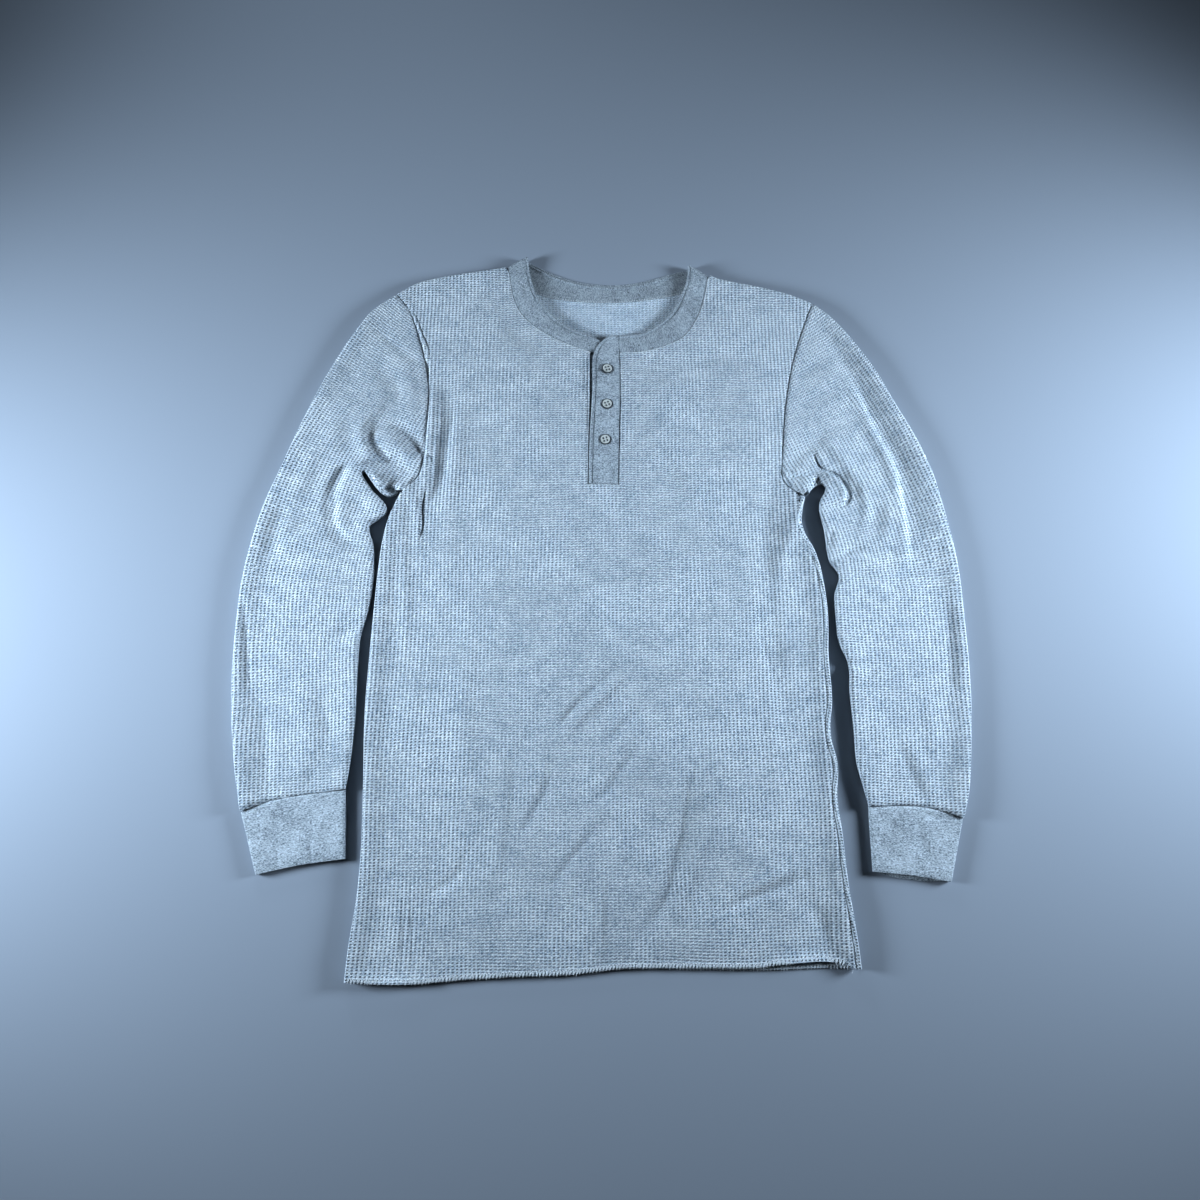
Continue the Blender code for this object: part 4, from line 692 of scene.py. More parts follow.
class Sheet:
    """Flat region in plan, cut to an outline, that can be raised and rolled over at its folds."""

    def __init__(self, stretches, grid, creases=()):
        """Each stretch is (kind, line), in order round the region, with the region on its left."""
        laid = []
        for i, (kind, line) in enumerate(stretches):
            before = stretches[i - 1][0]
            after = stretches[(i + 1) % len(stretches)][0]
            if kind == "fold":
                laid.append(np.hstack((beside(line, FOLD_RADIUS), line)))
            else:
                cut = trimmed(line, FOLD_RADIUS if before == "fold" else 0.0,
                              FOLD_RADIUS if after == "fold" else 0.0)
                laid.append(np.hstack((cut, cut)))
        for i in range(len(laid)):
            k = (i + 1) % len(laid)
            laid[i], laid[k] = meet(laid[i], laid[k])
        self.outline = []
        self.folds = []
        for (kind, _), rows in zip(stretches, laid):
            places = np.array([self.place(row[:2]) for row in rows])
            if kind == "fold":
                self.folds.append((places, rows[:, 2:]))
        self.fill(grid, creases)

    def place(self, point):
        """Which of the outline's points this one is, added to them if it is none."""
        for i in (len(self.outline) - 1, 0):
            if self.outline and np.linalg.norm(self.outline[i] - point) < SEAM_GAP / 3:
                return i
        self.outline.append(point)
        return len(self.outline) - 1

    def fill(self, grid, creases):
        """Triangles over the outline, finer round its narrow creases."""
        outline = np.array(self.outline)
        border = np.vstack((outline, outline[:1]))
        fine = [rounded(crease.path, 0.004) for crease in creases if crease.width < FINE_WIDTH]

        def lattice(step):
            low, high = outline.min(0), outline.max(0)
            columns = np.arange(low[0] + step / 2, high[0], step)
            rows = np.arange(low[1] + step / 2, high[1], step)
            x, y = np.meshgrid(columns, rows)
            x[1::2] += step / 2
            return np.stack((x.ravel(), y.ravel()), axis=1)

        def near_fine(points, reach):
            near = np.zeros(len(points), bool)
            for path in fine:
                inside = boxed(points, path, reach)
                near[inside[nearest(points[inside], path)[0] < reach]] = True
            return near

        inner = lattice(grid)
        inner = inner[~near_fine(inner, 2.2 * FINE_WIDTH)]
        inner = inner[nearest(inner, border)[0] > EDGE_ROOM * grid]
        if fine:
            dense = lattice(FINE_GRID)
            dense = dense[near_fine(dense, 2.1 * FINE_WIDTH)]
            dense = dense[nearest(dense, border)[0] > EDGE_ROOM * FINE_GRID * 1.6]
            inner = np.vstack((inner, dense))
        points = [Vector(point) for point in (*outline, *inner)]
        loop = list(range(len(outline)))
        flat, _, faces, sources, _, _ = delaunay_2d_cdt(points, [], [loop], 1, 1e-7)
        ranked = sorted({i for face in faces for i in face}, key=lambda i: min(sources[i]))
        new = {old: k for k, old in enumerate(ranked)}
        self.points = np.array([flat[i] for i in ranked])
        self.faces = [tuple(new[i] for i in face) for face in faces]


def squared(share):
    """A sine or cosine pushed outward: a fold is flatter on top and turns down more sharply."""
    return math.copysign(abs(share) ** FOLD_SQUARENESS, share)


def roll(cloth, knit_of, laid, fold, low, start, stop):
    """Carry a sheet's edge round a fold, from one angle to another: 0 is its top, pi its underside.

    low is the height of the underside; knit_of gives a place in plan its place in the knit. A roll
    that starts at the underside ends at the height of the cloth on top.
    """
    places, rims = fold
    previous = laid[places]
    flat = cloth.points[previous]
    out = rims - flat[:, :2]
    if start < stop:
        upper = np.maximum(flat[:, 2], low + LEAST_FOLD)
    else:
        upper = top_height(flat[:, :2])
    arc = 0.5 * (FOLD_RADIUS + (upper - low) / 2)
    away = unit(out)
    count = max(1, round(FOLD_STEPS * abs(stop - start) / math.pi))
    for k in range(1, count + 1):
        angle = start + (stop - start) * k / count
        place = flat[:, :2] + out * squared(math.sin(angle))
        height = low + (upper - low) / 2 * (1 + squared(math.cos(angle)))
        knit = knit_of(flat[:, :2] + away * (arc * abs(angle - start))[:, None])
        current = cloth.add(np.column_stack((place, height)), knit)
        cloth.add_strip(previous, current)
        previous = current
    return previous


# ---- body ---------------------------------------------------------------------------------

def body_knit(points):
    """Columns of the knit run down the body, a little uneven."""
    shift = np.stack((ripple(points, 0.16, 11), ripple(points, 0.13, 12)), axis=1)
    return points + BODY_KNIT_WANDER * shift


def lines_of_body():
    """Seams and folds that the panels share, each running clockwise seen from above."""
    tables = {"right_shoulder": RIGHT_SHOULDER, "right_armhole": RIGHT_ARMHOLE,
              "right_side": RIGHT_SIDE, "left_shoulder": LEFT_SHOULDER,
              "left_armhole": LEFT_ARMHOLE, "left_side": LEFT_SIDE}
    return {name: rounded(table) for name, table in tables.items()}


def make_front(lines, knit, inside):
    """The panel on top, with its neck and the placket's slot cut out."""
    right_neck = trimmed(beside(rounded(BAND_RIGHT_FRONT[:, 2:]), SEAM_GAP),
                         PLACKET_END_TRIM, NECK_END_TRIM)
    left_neck = beside(rounded(BAND_LEFT_FRONT[:, 2:])[::-1], SEAM_GAP)
    side_inset = FOLD_RADIUS + WRAP_LAP + SEAM_GAP
    left_side = trimmed(beside(lines["left_side"][::-1], side_inset), end=LAP_END_TRIM)
    stretches = [
        ("cut", trimmed(rounded(HEM_FRONT), end=side_inset)),
        ("cut", left_side),
        ("cut", trimmed(lines["left_armhole"][::-1], start=ARMHOLE_END_TRIM)),
        ("fold", lines["left_shoulder"][::-1]),
        ("cut", left_neck),
        ("cut", rounded(WINDOW_LEFT)),
        ("cut", rounded(WINDOW_RIGHT)),
        ("cut", right_neck),
        ("fold", lines["right_shoulder"]),
        ("cut", lines["right_armhole"]),
        ("fold", lines["right_side"]),
    ]
    sheet = Sheet(stretches, FRONT_GRID, FRONT_FOLDS)
    cloth = Cloth()
    top = np.column_stack((sheet.points, top_height(sheet.points)))
    laid = cloth.add(top, body_knit(sheet.points))
    cloth.add_faces(sheet.faces)
    for fold in sheet.folds:
        roll(cloth, body_knit, laid, fold, edge_lift(fold[1]), 0.0, math.pi / 2 - HALF_GAP)
    return cloth.make("cloth_front", WAFFLE_WALL, knit, inside)


def make_back(lines, knit, inside):
    """The panel on the floor; its side at the wearer's left rolls up on to the front."""
    neck = beside(rounded(BAND_BACK[:, 2:])[::-1], SEAM_GAP)
    stretches = [
        ("cut", rounded(HEM_BACK)),
        ("fold", lines["left_side"][::-1]),
        ("cut", lines["left_armhole"][::-1]),
        ("fold", lines["left_shoulder"][::-1]),
        ("cut", trimmed(neck, NECK_END_TRIM, NECK_END_TRIM)),
        ("fold", lines["right_shoulder"]),
        ("cut", lines["right_armhole"]),
        ("fold", lines["right_side"]),
    ]
    sheet = Sheet(stretches, BACK_GRID)
    cloth = Cloth()
    lift = edge_lift(sheet.points)
    laid = cloth.add(np.column_stack((sheet.points, lift)), body_knit(sheet.points))
    cloth.add_faces(sheet.faces)
    left_side, *others = sheet.folds
    end = roll(cloth, body_knit, laid, left_side, lift[left_side[0]], math.pi, 0.0)
    lap_over(cloth, laid, left_side, end)
    for fold in others:
        roll(cloth, body_knit, laid, fold, lift[fold[0]], math.pi, math.pi / 2 + HALF_GAP)
    cloth.faces = [tuple(reversed(face)) for face in cloth.faces]
    return cloth.make("cloth_back", WAFFLE_WALL, knit, inside)


def lap_over(cloth, laid, fold, previous):
    """Carry the rolled side on over the front, from nothing at the underarm to its full width."""
    places, rims = fold
    flat = cloth.points[laid[places]][:, :2]
    inward = unit(flat - rims)
    share = np.clip(np.linalg.norm(rims - rims[-1], axis=1) / LAP_START, 0.1, 1)
    arc = math.pi * FOLD_RADIUS
    for k in range(1, LAP_STEPS + 1):
        place = flat + inward * (WRAP_LAP * share * k / LAP_STEPS)[:, None]
        knit = body_knit(rims - inward * (arc + WRAP_LAP * k / LAP_STEPS))
        current = cloth.add(np.column_stack((place, top_height(place))), knit)
        cloth.add_strip(previous, current)
        previous = current


# ---- sleeves and cuffs --------------------------------------------------------------------

def make_tube(name, sheet, top, wall, materials, knit_of, slide=None):
    """A sleeve or cuff: a top layer, the folds at its two sides, and the layer under it.

    slide(points) says how far the under layer has moved in plan.
    """
    cloth = Cloth()
    knit = knit_of(sheet.points)
    upper = cloth.add(np.column_stack((sheet.points, top(sheet.points))), knit)
    cloth.add_faces(sheet.faces)
    lift = edge_lift(sheet.points)
    under = sheet.points + (slide(sheet.points) if slide else 0)
    lower = cloth.add(np.column_stack((under, lift)), knit)
    cloth.add_faces([tuple(lower[i] for i in reversed(face)) for face in sheet.faces])
    last_angle = math.pi * (FOLD_STEPS - 1) / FOLD_STEPS
    for fold in sheet.folds:
        end = roll(cloth, knit_of, upper, fold, lift[fold[0]], 0.0, last_angle)
        cloth.add_strip(end, lower[fold[0]])
    return cloth.make(name, wall, *materials)


def knit_along(column):
    """Columns of the knit run along a sleeve or cuff, beside its middle one."""
    middle = rounded(column, 0.01)

    def knit_of(points):
        _, along, left = nearest(points, middle)
        return np.stack(
            (SLEEVE_KNIT_SHIFT + left + SLEEVE_KNIT_WANDER * ripple(points, 0.10, 13),
             -along + SLEEVE_KNIT_WANDER * ripple(points, 0.12, 14)), axis=1)
    return knit_of


def make_sleeve(side, outer, inner, armhole, cuff_seam, column, creases, materials):
    """Stretches run with the sleeve on their left: the left sleeve's are turned about."""
    outer, inner, armhole, cuff_seam = (rounded(table)
                                        for table in (outer, inner, armhole, cuff_seam))
    if side == "left":
        stretches = [
            ("fold", trimmed(outer[::-1], end=SEAM_GAP)),
            ("cut", beside(armhole, SEAM_GAP)),
            ("fold", trimmed(inner, start=FOLD_RADIUS)),
            ("cut", cuff_seam[::-1]),
        ]
    else:
        stretches = [
            ("fold", trimmed(outer, start=SEAM_GAP)),
            ("cut", cuff_seam),
            ("fold", inner[::-1]),
            ("cut", beside(armhole[::-1], SEAM_GAP)),
        ]
    sheet = Sheet(stretches, SLEEVE_GRID, creases)
    return make_tube(f"cloth_sleeve_{side}", sheet, top_height, WAFFLE_WALL, materials,
                     knit_along(column))


def make_cuff(side, seam, mouth, materials, lip=0.0):
    """A folded tube; its under layer slides out of its mouth by the lip."""
    outer = rounded(np.vstack((seam[0], mouth[0])))
    inner = rounded(np.vstack((seam[-1], mouth[-1])))
    seam, mouth = rounded(seam), rounded(mouth)

    def from_sides(points):
        """How far places are inside the rounding of the cuff's two folds."""
        return np.minimum(nearest(points, outer)[0], nearest(points, inner)[0]) - FOLD_RADIUS

    def slide(points):
        """How far the under layer moves: most at the mouth's middle, not at its folds."""
        near = np.maximum(0, 1 - nearest(points, mouth)[0] / CUFF_LIP_SPREAD)
        middle = np.clip(from_sides(points) / CUFF_LIP_SPREAD, 0, 1)
        way = (outer[-1] - outer[0]) / np.linalg.norm(outer[-1] - outer[0])
        return way * (lip * near * middle)[:, None]

    def top(points):
        """Height of the outer face, which is lower at the seam and rounded at the mouth."""
        rise = CUFF_SIDE_RISE * bell(np.maximum(0, from_sides(points)), CUFF_SIDE_SPREAD)
        height = CUFF_HEIGHT + rise
        height += creased(points, CUFF_FOLDS) + 0.00015 * ripple(points, 0.02, 3)
        height -= CUFF_SEAM_SINK * bell(nearest(points, seam)[0], CUFF_SEAM_SPREAD)
        height -= CUFF_MOUTH_DROP * bell(nearest(points, mouth)[0], CUFF_MOUTH_SPREAD)
        return np.maximum(height, LOWEST_TOP + edge_lift(points))

    if side == "left":
        stretches = [
            ("fold", trimmed(outer[::-1], end=SEAM_GAP)),
            ("cut", beside(seam, 2 * SEAM_GAP)),
            ("fold", trimmed(inner, start=SEAM_GAP)),
            ("cut", mouth[::-1]),
        ]
    else:
        stretches = [
            ("fold", trimmed(outer, start=SEAM_GAP)),
            ("cut", mouth),
            ("fold", trimmed(inner[::-1], end=SEAM_GAP)),
            ("cut", beside(seam[::-1], 2 * SEAM_GAP)),
        ]
    sheet = Sheet(stretches, CUFF_GRID)
    ends = np.array([(outer[k] + inner[k]) / 2 for k in (0, -1)])
    column = np.vstack((2 * ends[0] - ends[1], 2 * ends[1] - ends[0]))
    return make_tube(f"cloth_cuff_{side}", sheet, top, JERSEY_WALL, materials,
                     knit_along(column), slide)


# ---- neckband -----------------------------------------------------------------------------

def band_rows(table, count):
    """Places across the band, from its free edge to its seam, at even steps round the neck."""
    return spaced(rounded(table[:, :2]), count), spaced(rounded(table[:, 2:]), count)


def standing(seam, seed):
    """How much the free edge stands up in front, less towards the shoulder."""
    run = run_of(seam)
    uneven = 0.75 + 0.25 * ripple(seam, 0.05, seed)
    return BAND_STAND * uneven * (1 - 0.7 * bell(run[-1] - run, 0.016))


def make_neckband(materials):
    """A folded strip from the placket round the neck and back, its outer face up in front."""
    rows = []       # free edge x y z, seam x y z
    edge, seam = band_rows(BAND_RIGHT_FRONT, BAND_FRONT_ROWS)
    run = run_of(seam)
    sink = bell(run, BAND_SINK)
    rise = top_height(seam) * (1 - sink) + BAND_END_TOP * sink
    stand = standing(seam, 21) * (1 - sink)
    for k in range(len(edge)):
        rows.append((*edge[k], rise[k] + stand[k], *seam[k], rise[k]))
    rows += turn_of_band(rows[-1], 1)
    edge, seam = band_rows(BAND_BACK, BAND_BACK_ROWS)
    for k in range(1, len(edge) - 1):
        rows.append((*edge[k], 0.0, *seam[k], 0.0))
    edge, seam = band_rows(BAND_LEFT_FRONT, BAND_FRONT_ROWS)
    rise = top_height(seam)
    stand = standing(seam, 22)
    left = [(*edge[k], rise[k] + stand[k], *seam[k], rise[k]) for k in range(len(edge))]
    rows += turn_of_band(left[-1], -1)[::-1]
    rows += left[::-1]
    rows = np.array(rows)
    edge, seam = rows[:, :3], rows[:, 3:]
    way = np.gradient(seam, axis=0)
    run = run_of(seam)
    across = edge - seam
    width = np.linalg.norm(across, axis=1)
    across /= width[:, None]
    up = unit(np.cross(across, way))
    cloth = Cloth()
    previous = None
    shares = np.linspace(1, 0, BAND_STEPS + 1)
    crown = BAND_CROWN * np.sin(math.pi * shares)
    for k in range(len(rows)):
        body = width[k] - BAND_EDGE_RADIUS
        points = []
        for angle in (1.5, 1.0, 0.5):
            points.append(seam[k] + across[k] * (body + BAND_EDGE_RADIUS * math.sin(angle))
                          - up[k] * BAND_EDGE_RADIUS * (1 - math.cos(angle)))
        inset = body * (1 - shares) + BAND_EDGE_RADIUS
        relief = crown - TOPSTITCH_SINK * bell(inset - TOPSTITCH_INSET, TOPSTITCH_SPREAD)
        relief += BAND_RIM * bell(inset - BAND_RIM_INSET, BAND_RIM_INSET)
        for share, raised in zip(shares, relief):
            points.append(seam[k] + across[k] * body * share + up[k] * raised)
        points = np.array(points)
        over = np.linalg.norm(points - seam[k], axis=1)
        current = cloth.add(points, np.column_stack((over, np.full(len(points), run[k]))))
        if previous is not None:
            cloth.add_strip(previous, current)
        previous = current
    return cloth.make("cloth_neckband", JERSEY_WALL, *materials)


def turn_of_band(row, side):
    """Rows that take the band over the shoulder fold, from its top down to the underside."""
    edge, seam = np.array(row[:3]), np.array(row[3:])
    across = (edge - seam)[:2] / np.linalg.norm((edge - seam)[:2])
    out = np.array((-across[1], across[0])) * side
    turned = []
    for k in range(1, FOLD_STEPS + 1):
        angle = math.pi * k / FOLD_STEPS
        reach = out * FOLD_RADIUS * math.sin(angle)
        down = 0.5 * (1 + math.cos(angle))
        turned.append((*(edge[:2] + reach), edge[2] * down, *(seam[:2] + reach), seam[2] * down))
    return turned


# ---- placket ------------------------------------------------------------------------------

def free_edge_of_placket():
    """The buttonhole strip's free edge: from its low end up and round its top corner."""
    return rounded(np.vstack((OVER_STRIP[5:][::-1], OVER_STRIP[4:5])), 0.002)


def make_strip(name, outline, top, puckers, materials, free_edge=None):
    """A strip of the placket, pressed down under the buttons; a free edge is stitched beside."""
    border = np.vstack((rounded(outline, 0.002), outline[:1]))
    sheet = Sheet([("cut", border)], STRIP_GRID)
    height = top + creased(sheet.points, puckers) + 0.00020 * ripple(sheet.points, 0.012, 31)
    height -= STRIP_EDGE * bell(nearest(sheet.points, border)[0], STRIP_EDGE_SPREAD)
    for button in BUTTONS:
        from_button = np.hypot(sheet.points[:, 0] - button.x, sheet.points[:, 1] - button.y)
        height -= BUTTON_SEAT * np.exp(-(from_button / (1.05 * BUTTON_RADIUS)) ** 10)
    if free_edge is not None:
        inset = nearest(sheet.points, free_edge)[0]
        height += RIM_HEIGHT * bell(inset - RIM_INSET, RIM_SPREAD)
        height -= TOPSTITCH_SINK * bell(inset - TOPSTITCH_INSET, TOPSTITCH_SPREAD)
    cloth = Cloth()
    cloth.add(np.column_stack((sheet.points, height)), sheet.points)
    cloth.add_faces(sheet.faces)
    return cloth.make(name, JERSEY_WALL, *materials)


# ---- sewing -------------------------------------------------------------------------------

def shape_of(piece):
    """The finished mesh of a primitive as arrays; the primitive itself is taken away."""
    points = np.array([v.co[:] for v in piece.data.vertices])
    faces = [tuple(face.vertices) for face in piece.data.polygons]
    bpy.data.objects.remove(piece, do_unlink=True)
    return points, faces


def one_stitch():
    """A short length of thread lying on the cloth, one unit long and one across."""
    bpy.ops.object.select_all(action="DESELECT")
    bpy.ops.mesh.primitive_cylinder_add(vertices=6, radius=0.5, depth=1.0, end_fill_type="TRIFAN",
                                        rotation=(0, math.pi / 2, 0))
    stitch = bpy.context.object
    bpy.ops.object.transform_apply(rotation=True)
    bpy.ops.object.mode_set(mode="EDIT")
    bpy.ops.mesh.select_all(action="SELECT")
    bpy.ops.mesh.subdivide(number_cuts=1)
    bpy.ops.object.mode_set(mode="OBJECT")
    for vertex in stitch.data.vertices:
        round_off = math.sqrt(max(0.0, 1 - (1.7 * vertex.co.x) ** 2))
        vertex.co.y *= round_off
        vertex.co.z *= round_off
    return shape_of(stitch)


def surface_of(pieces):
    """A function giving the height of the highest of the pieces at a place in plan."""
    depsgraph = bpy.context.evaluated_depsgraph_get()
    trees = [BVHTree.FromObject(piece, depsgraph) for piece in pieces]

    def at(place):
        hits = [tree.ray_cast(Vector((*place[:2], 0.05)), Vector((0, 0, -1))) for tree in trees]
        return max((hit[0].z for hit in hits if hit[0] is not None), default=None)
    return at


def lay_thread(name, legs, thread, finish):
    """Copies of one stitch along legs, each from place to place in space."""
    base, base_faces = one_stitch()
    points, faces = [], []
    for k, (start, end) in enumerate(legs):
        length = np.linalg.norm(end - start)
        way = (end - start) / length
        side = np.cross((0, 0, 1), way)
        side /= np.linalg.norm(side)
        up = np.cross(way, side)
        points.append((start + end) / 2 + np.outer(base[:, 0] * length, way)
                      + np.outer(base[:, 1] * thread, side) + np.outer(base[:, 2] * thread, up))
        faces += [tuple(k * len(base) + i for i in face) for face in base_faces]
    return linked(name, smooth_mesh(name, np.vstack(points), faces, (finish,)))


def sew(name, legs, on, thread, finish, above=0.3):
    """A row of stitches along legs given in plan, lying on the pieces below.

    above is how far a thread's middle lies above the cloth, as a share of its thickness.
    """
    surface = surface_of(on)
    placed = []
    for start, end in legs:
        heights = [surface(place) for place in (start, end)]
        known = [height for height in heights if height is not None]
        if known:
            heights = [known[0] if height is None else height for height in heights]
            placed.append(tuple(np.array((*place, height + above * thread))
                                for place, height in zip((start, end), heights)))
    return lay_thread(name, placed, thread, finish)


def running(line, stitch):
    """Legs of a row of straight stitches along a line."""
    run = run_of(line)

    def place(at):
        return [np.interp(at, run, line[:, k]) for k in (0, 1)]

    starts = np.arange(stitch.gap, run[-1] - stitch.length, stitch.length + stitch.gap)
    return [(place(at), place(at + stitch.length)) for at in starts]


def zigzag(line, seed):
    """Legs of an overlock's loops over a cut edge; the piece is on the line's left."""
    count = int(run_of(line)[-1] / OVERLOCK_STEP)
    inside = spaced(beside(line, OVERLOCK_IN), count)
    outside = spaced(beside(line, -OVERLOCK_OUT), count)
    rng = np.random.default_rng(seed)
    legs = []
    for k in range(0, count - 1, 2):
        slip = rng.normal(0, OVERLOCK_SLIP, (2, 2))
        legs.append((inside[k] + slip[0], outside[k] + slip[1]))
        legs.append((outside[k] + slip[1], inside[k + 1] + slip[0]))
        legs.append((inside[k + 1] + slip[0], inside[min(k + 2, count - 1)]))
    return legs


def band_lines(table, count):
    """Free edge and seam of the band, and the way from seam to free edge."""
    edge, seam = band_rows(table, count)
    return edge, seam, unit(edge - seam)


def stitch_all(cloth):
    """Every row of thread that shows on the garment, over the pieces of cloth by name."""
    grey = cotton_thread("cotton_thread_grey", "#a3afba")
    pale = cotton_thread("cotton_thread_pale", "#eef3f6")
    rows = []       # name, line, stitch, the pieces it lies on, thread, how far above them
    for side, table in zip(SIDES, BAND_FRONTS):
        edge, seam, across = band_lines(table, 60)
        rows.append((f"topstitch_band_{side}", (edge - across * TOPSTITCH_INSET)[6:], TOPSTITCH,
                     ["neckband"], grey))
        rows.append((f"coverstitch_neck_{side}", seam - across * COVERSTITCH_INSET,
                     COVERSTITCH_FRONT, ["front", "neckband"], pale))
    edge, seam, across = band_lines(BAND_BACK, 90)
    rows.append(("topstitch_band_back", edge[8:-8] - across[8:-8] * TOPSTITCH_BACK_INSET,
                 TOPSTITCH, ["neckband"], grey))
    for k, inset in enumerate(COVERSTITCH_BACK_INSETS):
        rows.append((f"coverstitch_back_{k + 1}", seam[6:-6] + across[6:-6] * inset,
                     COVERSTITCH_BACK, ["neckband", "back"], pale))
    rows.append(("topstitch_placket", beside(free_edge_of_placket(), -TOPSTITCH_INSET),
                 TOPSTITCH, ["placket_over"], grey))
    rows.append(("seam_placket", rounded(WINDOW_LEFT, 0.002), PLACKET_SEAM,
                 ["front", "placket_over"], grey))
    rows.append(("seam_side_left", trimmed(SIDE_SEAM, 0.004), SIDE_STITCH, ["front", "back"],
                 pale, 0.0))
    for side, table in zip(SIDES, ARMHOLES):
        rows.append((f"seam_armhole_{side}", trimmed(rounded(table, 0.004), 0.006, 0.006),
                     ARMHOLE_STITCH, ["front", f"sleeve_{side}"], grey))
    made = [sew(name, running(line, stitch), [cloth[on] for on in below], stitch.thread,
                finish, *above) for name, line, stitch, below, finish, *above in rows]
    for panel, table, start, end, seed in (("front", HEM_FRONT, 0.004, 0.008, 41),
                                           ("back", HEM_BACK, 0.30, 0.010, 42)):
        loops = zigzag(trimmed(rounded(table), start, end), seed)
        made.append(sew(f"overlock_hem_{panel}", loops, [cloth[panel]], OVERLOCK_THREAD, pale,
                        above=0.2))
    for k, (tail, height) in enumerate(THREAD_TAILS):
        line = rounded(tail, 0.001)
        places = np.column_stack((line, height * np.linspace(1, 0.8, len(line))))
        made.append(lay_thread(f"thread_tail_{k + 1}", zip(places, places[1:]), TAIL_THREAD, pale))
    for piece in made:
        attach(piece, "root")


# ---- buttons ------------------------------------------------------------------------------

def select_facing(piece, way):
    """Select in edit mode the faces that look up, for a way of 1, or down, for -1."""
    bpy.ops.object.mode_set(mode="EDIT")
    bpy.ops.mesh.select_mode(type="FACE")
    bpy.ops.mesh.select_all(action="DESELECT")
    bpy.ops.object.mode_set(mode="OBJECT")
    for face in piece.data.polygons:
        face.select = way * face.normal.z > 0.9
    bpy.ops.object.mode_set(mode="EDIT")


def cylinder(vertices, radius, depth, place):
    """An upright cylinder as the active object."""
    bpy.ops.object.select_all(action="DESELECT")
    bpy.ops.mesh.primitive_cylinder_add(vertices=vertices, radius=radius, depth=depth,
                                        location=place)
    return bpy.context.object


def modify(piece, kind, **settings):
    """Add a modifier to the piece, with its settings, and apply it."""
    bpy.context.view_layer.objects.active = piece
    added = piece.modifiers.new(kind, kind)
    for name, value in settings.items():
        setattr(added, name, value)
    bpy.ops.object.modifier_apply(modifier=added.name)


def gets_edge_and_painted_shade(face):
    """Whether a face of the button is on its side or on the wall of one of its holes: these take
    the darker edge colour and the painted shade.
    """
    x, y = abs(face.center.x), abs(face.center.y)
    from_hole = math.hypot(x - BUTTON_HOLE_OFFSET, y - BUTTON_HOLE_OFFSET)
    in_hole = from_hole < 1.1 * BUTTON_HOLE_RADIUS and abs(face.normal.z) < 0.5
    return in_hole or face.center.xy.length > BUTTON_RADIUS - BUTTON_EDGE_AND_SHADE


def make_button(name, place, height, finish, edge):
    """A four-hole button with a raised rim, tilted on its thread."""
    button = cylinder(48, BUTTON_RADIUS, BUTTON_HEIGHT, (0, 0, BUTTON_HEIGHT / 2))
    button.name = name
    bpy.ops.object.transform_apply(location=True)
    for way, steps in ((1, BUTTON_STEPS), (-1, (BUTTON_UNDER,))):
        select_facing(button, way)
        for width in steps:
            bpy.ops.mesh.inset(thickness=width)
        bpy.ops.transform.translate(value=(0, 0, -BUTTON_DISH))
    bpy.ops.object.mode_set(mode="OBJECT")
    modify(button, "BEVEL", width=0.0002, segments=3, limit_method="ANGLE")
    for sx in (-1, 1):
        for sy in (-1, 1):
            pin = cylinder(14, BUTTON_HOLE_RADIUS, 4 * BUTTON_HEIGHT,
                           (sx * BUTTON_HOLE_OFFSET, sy * BUTTON_HOLE_OFFSET, 0))
            modify(button, "BOOLEAN", operation="DIFFERENCE", object=pin)
            bpy.data.objects.remove(pin, do_unlink=True)
    button.data.materials.append(finish)
    # second material: darker edge with painted contact shadow round the rim, and painted shade in
    # the holes
    button.data.materials.append(edge)
    for face in button.data.polygons:
        face.material_index = int(gets_edge_and_painted_shade(face))
    button.data.shade_smooth()
    button.data.set_sharp_from_angle(angle=math.radians(35))
    button.data.transform(turn_of_button(place, height))
    return button


def turn_of_button(place, height):
    """Where a button lies and how it is turned, as a matrix."""
    lean = math.radians(place.lean)
    toward = math.radians(place.toward)
    lift = height + BUTTON_RADIUS * math.sin(lean)
    tilt = Matrix.Rotation(lean, 4, Vector((-math.sin(toward), math.cos(toward), 0)))
    return (Matrix.Translation((place.x, place.y, lift)) @ tilt
            @ Matrix.Rotation(math.radians(12 * place.lean), 4, "Z"))


def sew_button(name, place, height, finish):
    """Two bars of thread across the button, each of two turns from hole to hole."""
    turn = turn_of_button(place, height)
    level = BUTTON_HEIGHT - BUTTON_THREAD_SINK
    reach = BUTTON_HOLE_OFFSET - BUTTON_THREAD_INSET
    legs = []
    for side in (-BUTTON_HOLE_OFFSET, BUTTON_HOLE_OFFSET):
        for slip in (-BUTTON_THREAD_SLIP, BUTTON_THREAD_SLIP):
            legs.append([np.array(turn @ Vector(end)) for end in
                         ((-reach, side + slip, level), (reach, side - slip, level))])
    return lay_thread(name, legs, BUTTON_THREAD, finish)


# ---- materials ----------------------------------------------------------------------------

def linear(colour):
    """An sRGB hex colour as the linear red, green, blue and alpha of a shader's input."""
    parts = [int(colour[k:k + 2], 16) / 255 for k in (1, 3, 5)]
    return [c / 12.92 if c <= 0.04045 else ((c + 0.055) / 1.055) ** 2.4 for c in parts] + [1.0]


def feed(tree, made, inputs):
    """Set a node's inputs: each a value, or an output to link from."""
    for key, value in inputs.items():
        if isinstance(value, bpy.types.NodeSocket):
            tree.links.new(value, made.inputs[key])
        else:
            made.inputs[key].default_value = value


def node(tree, kind, inputs=None, **settings):
    """Add a node with its settings and its inputs."""
    made = tree.nodes.new(kind)
    for name, value in settings.items():
        setattr(made, name, value)
    feed(tree, made, inputs or {})
    return made


def calc(tree, operation, *values):
    """Output of a math node."""
    return node(tree, "ShaderNodeMath", dict(enumerate(values)), operation=operation).outputs[0]


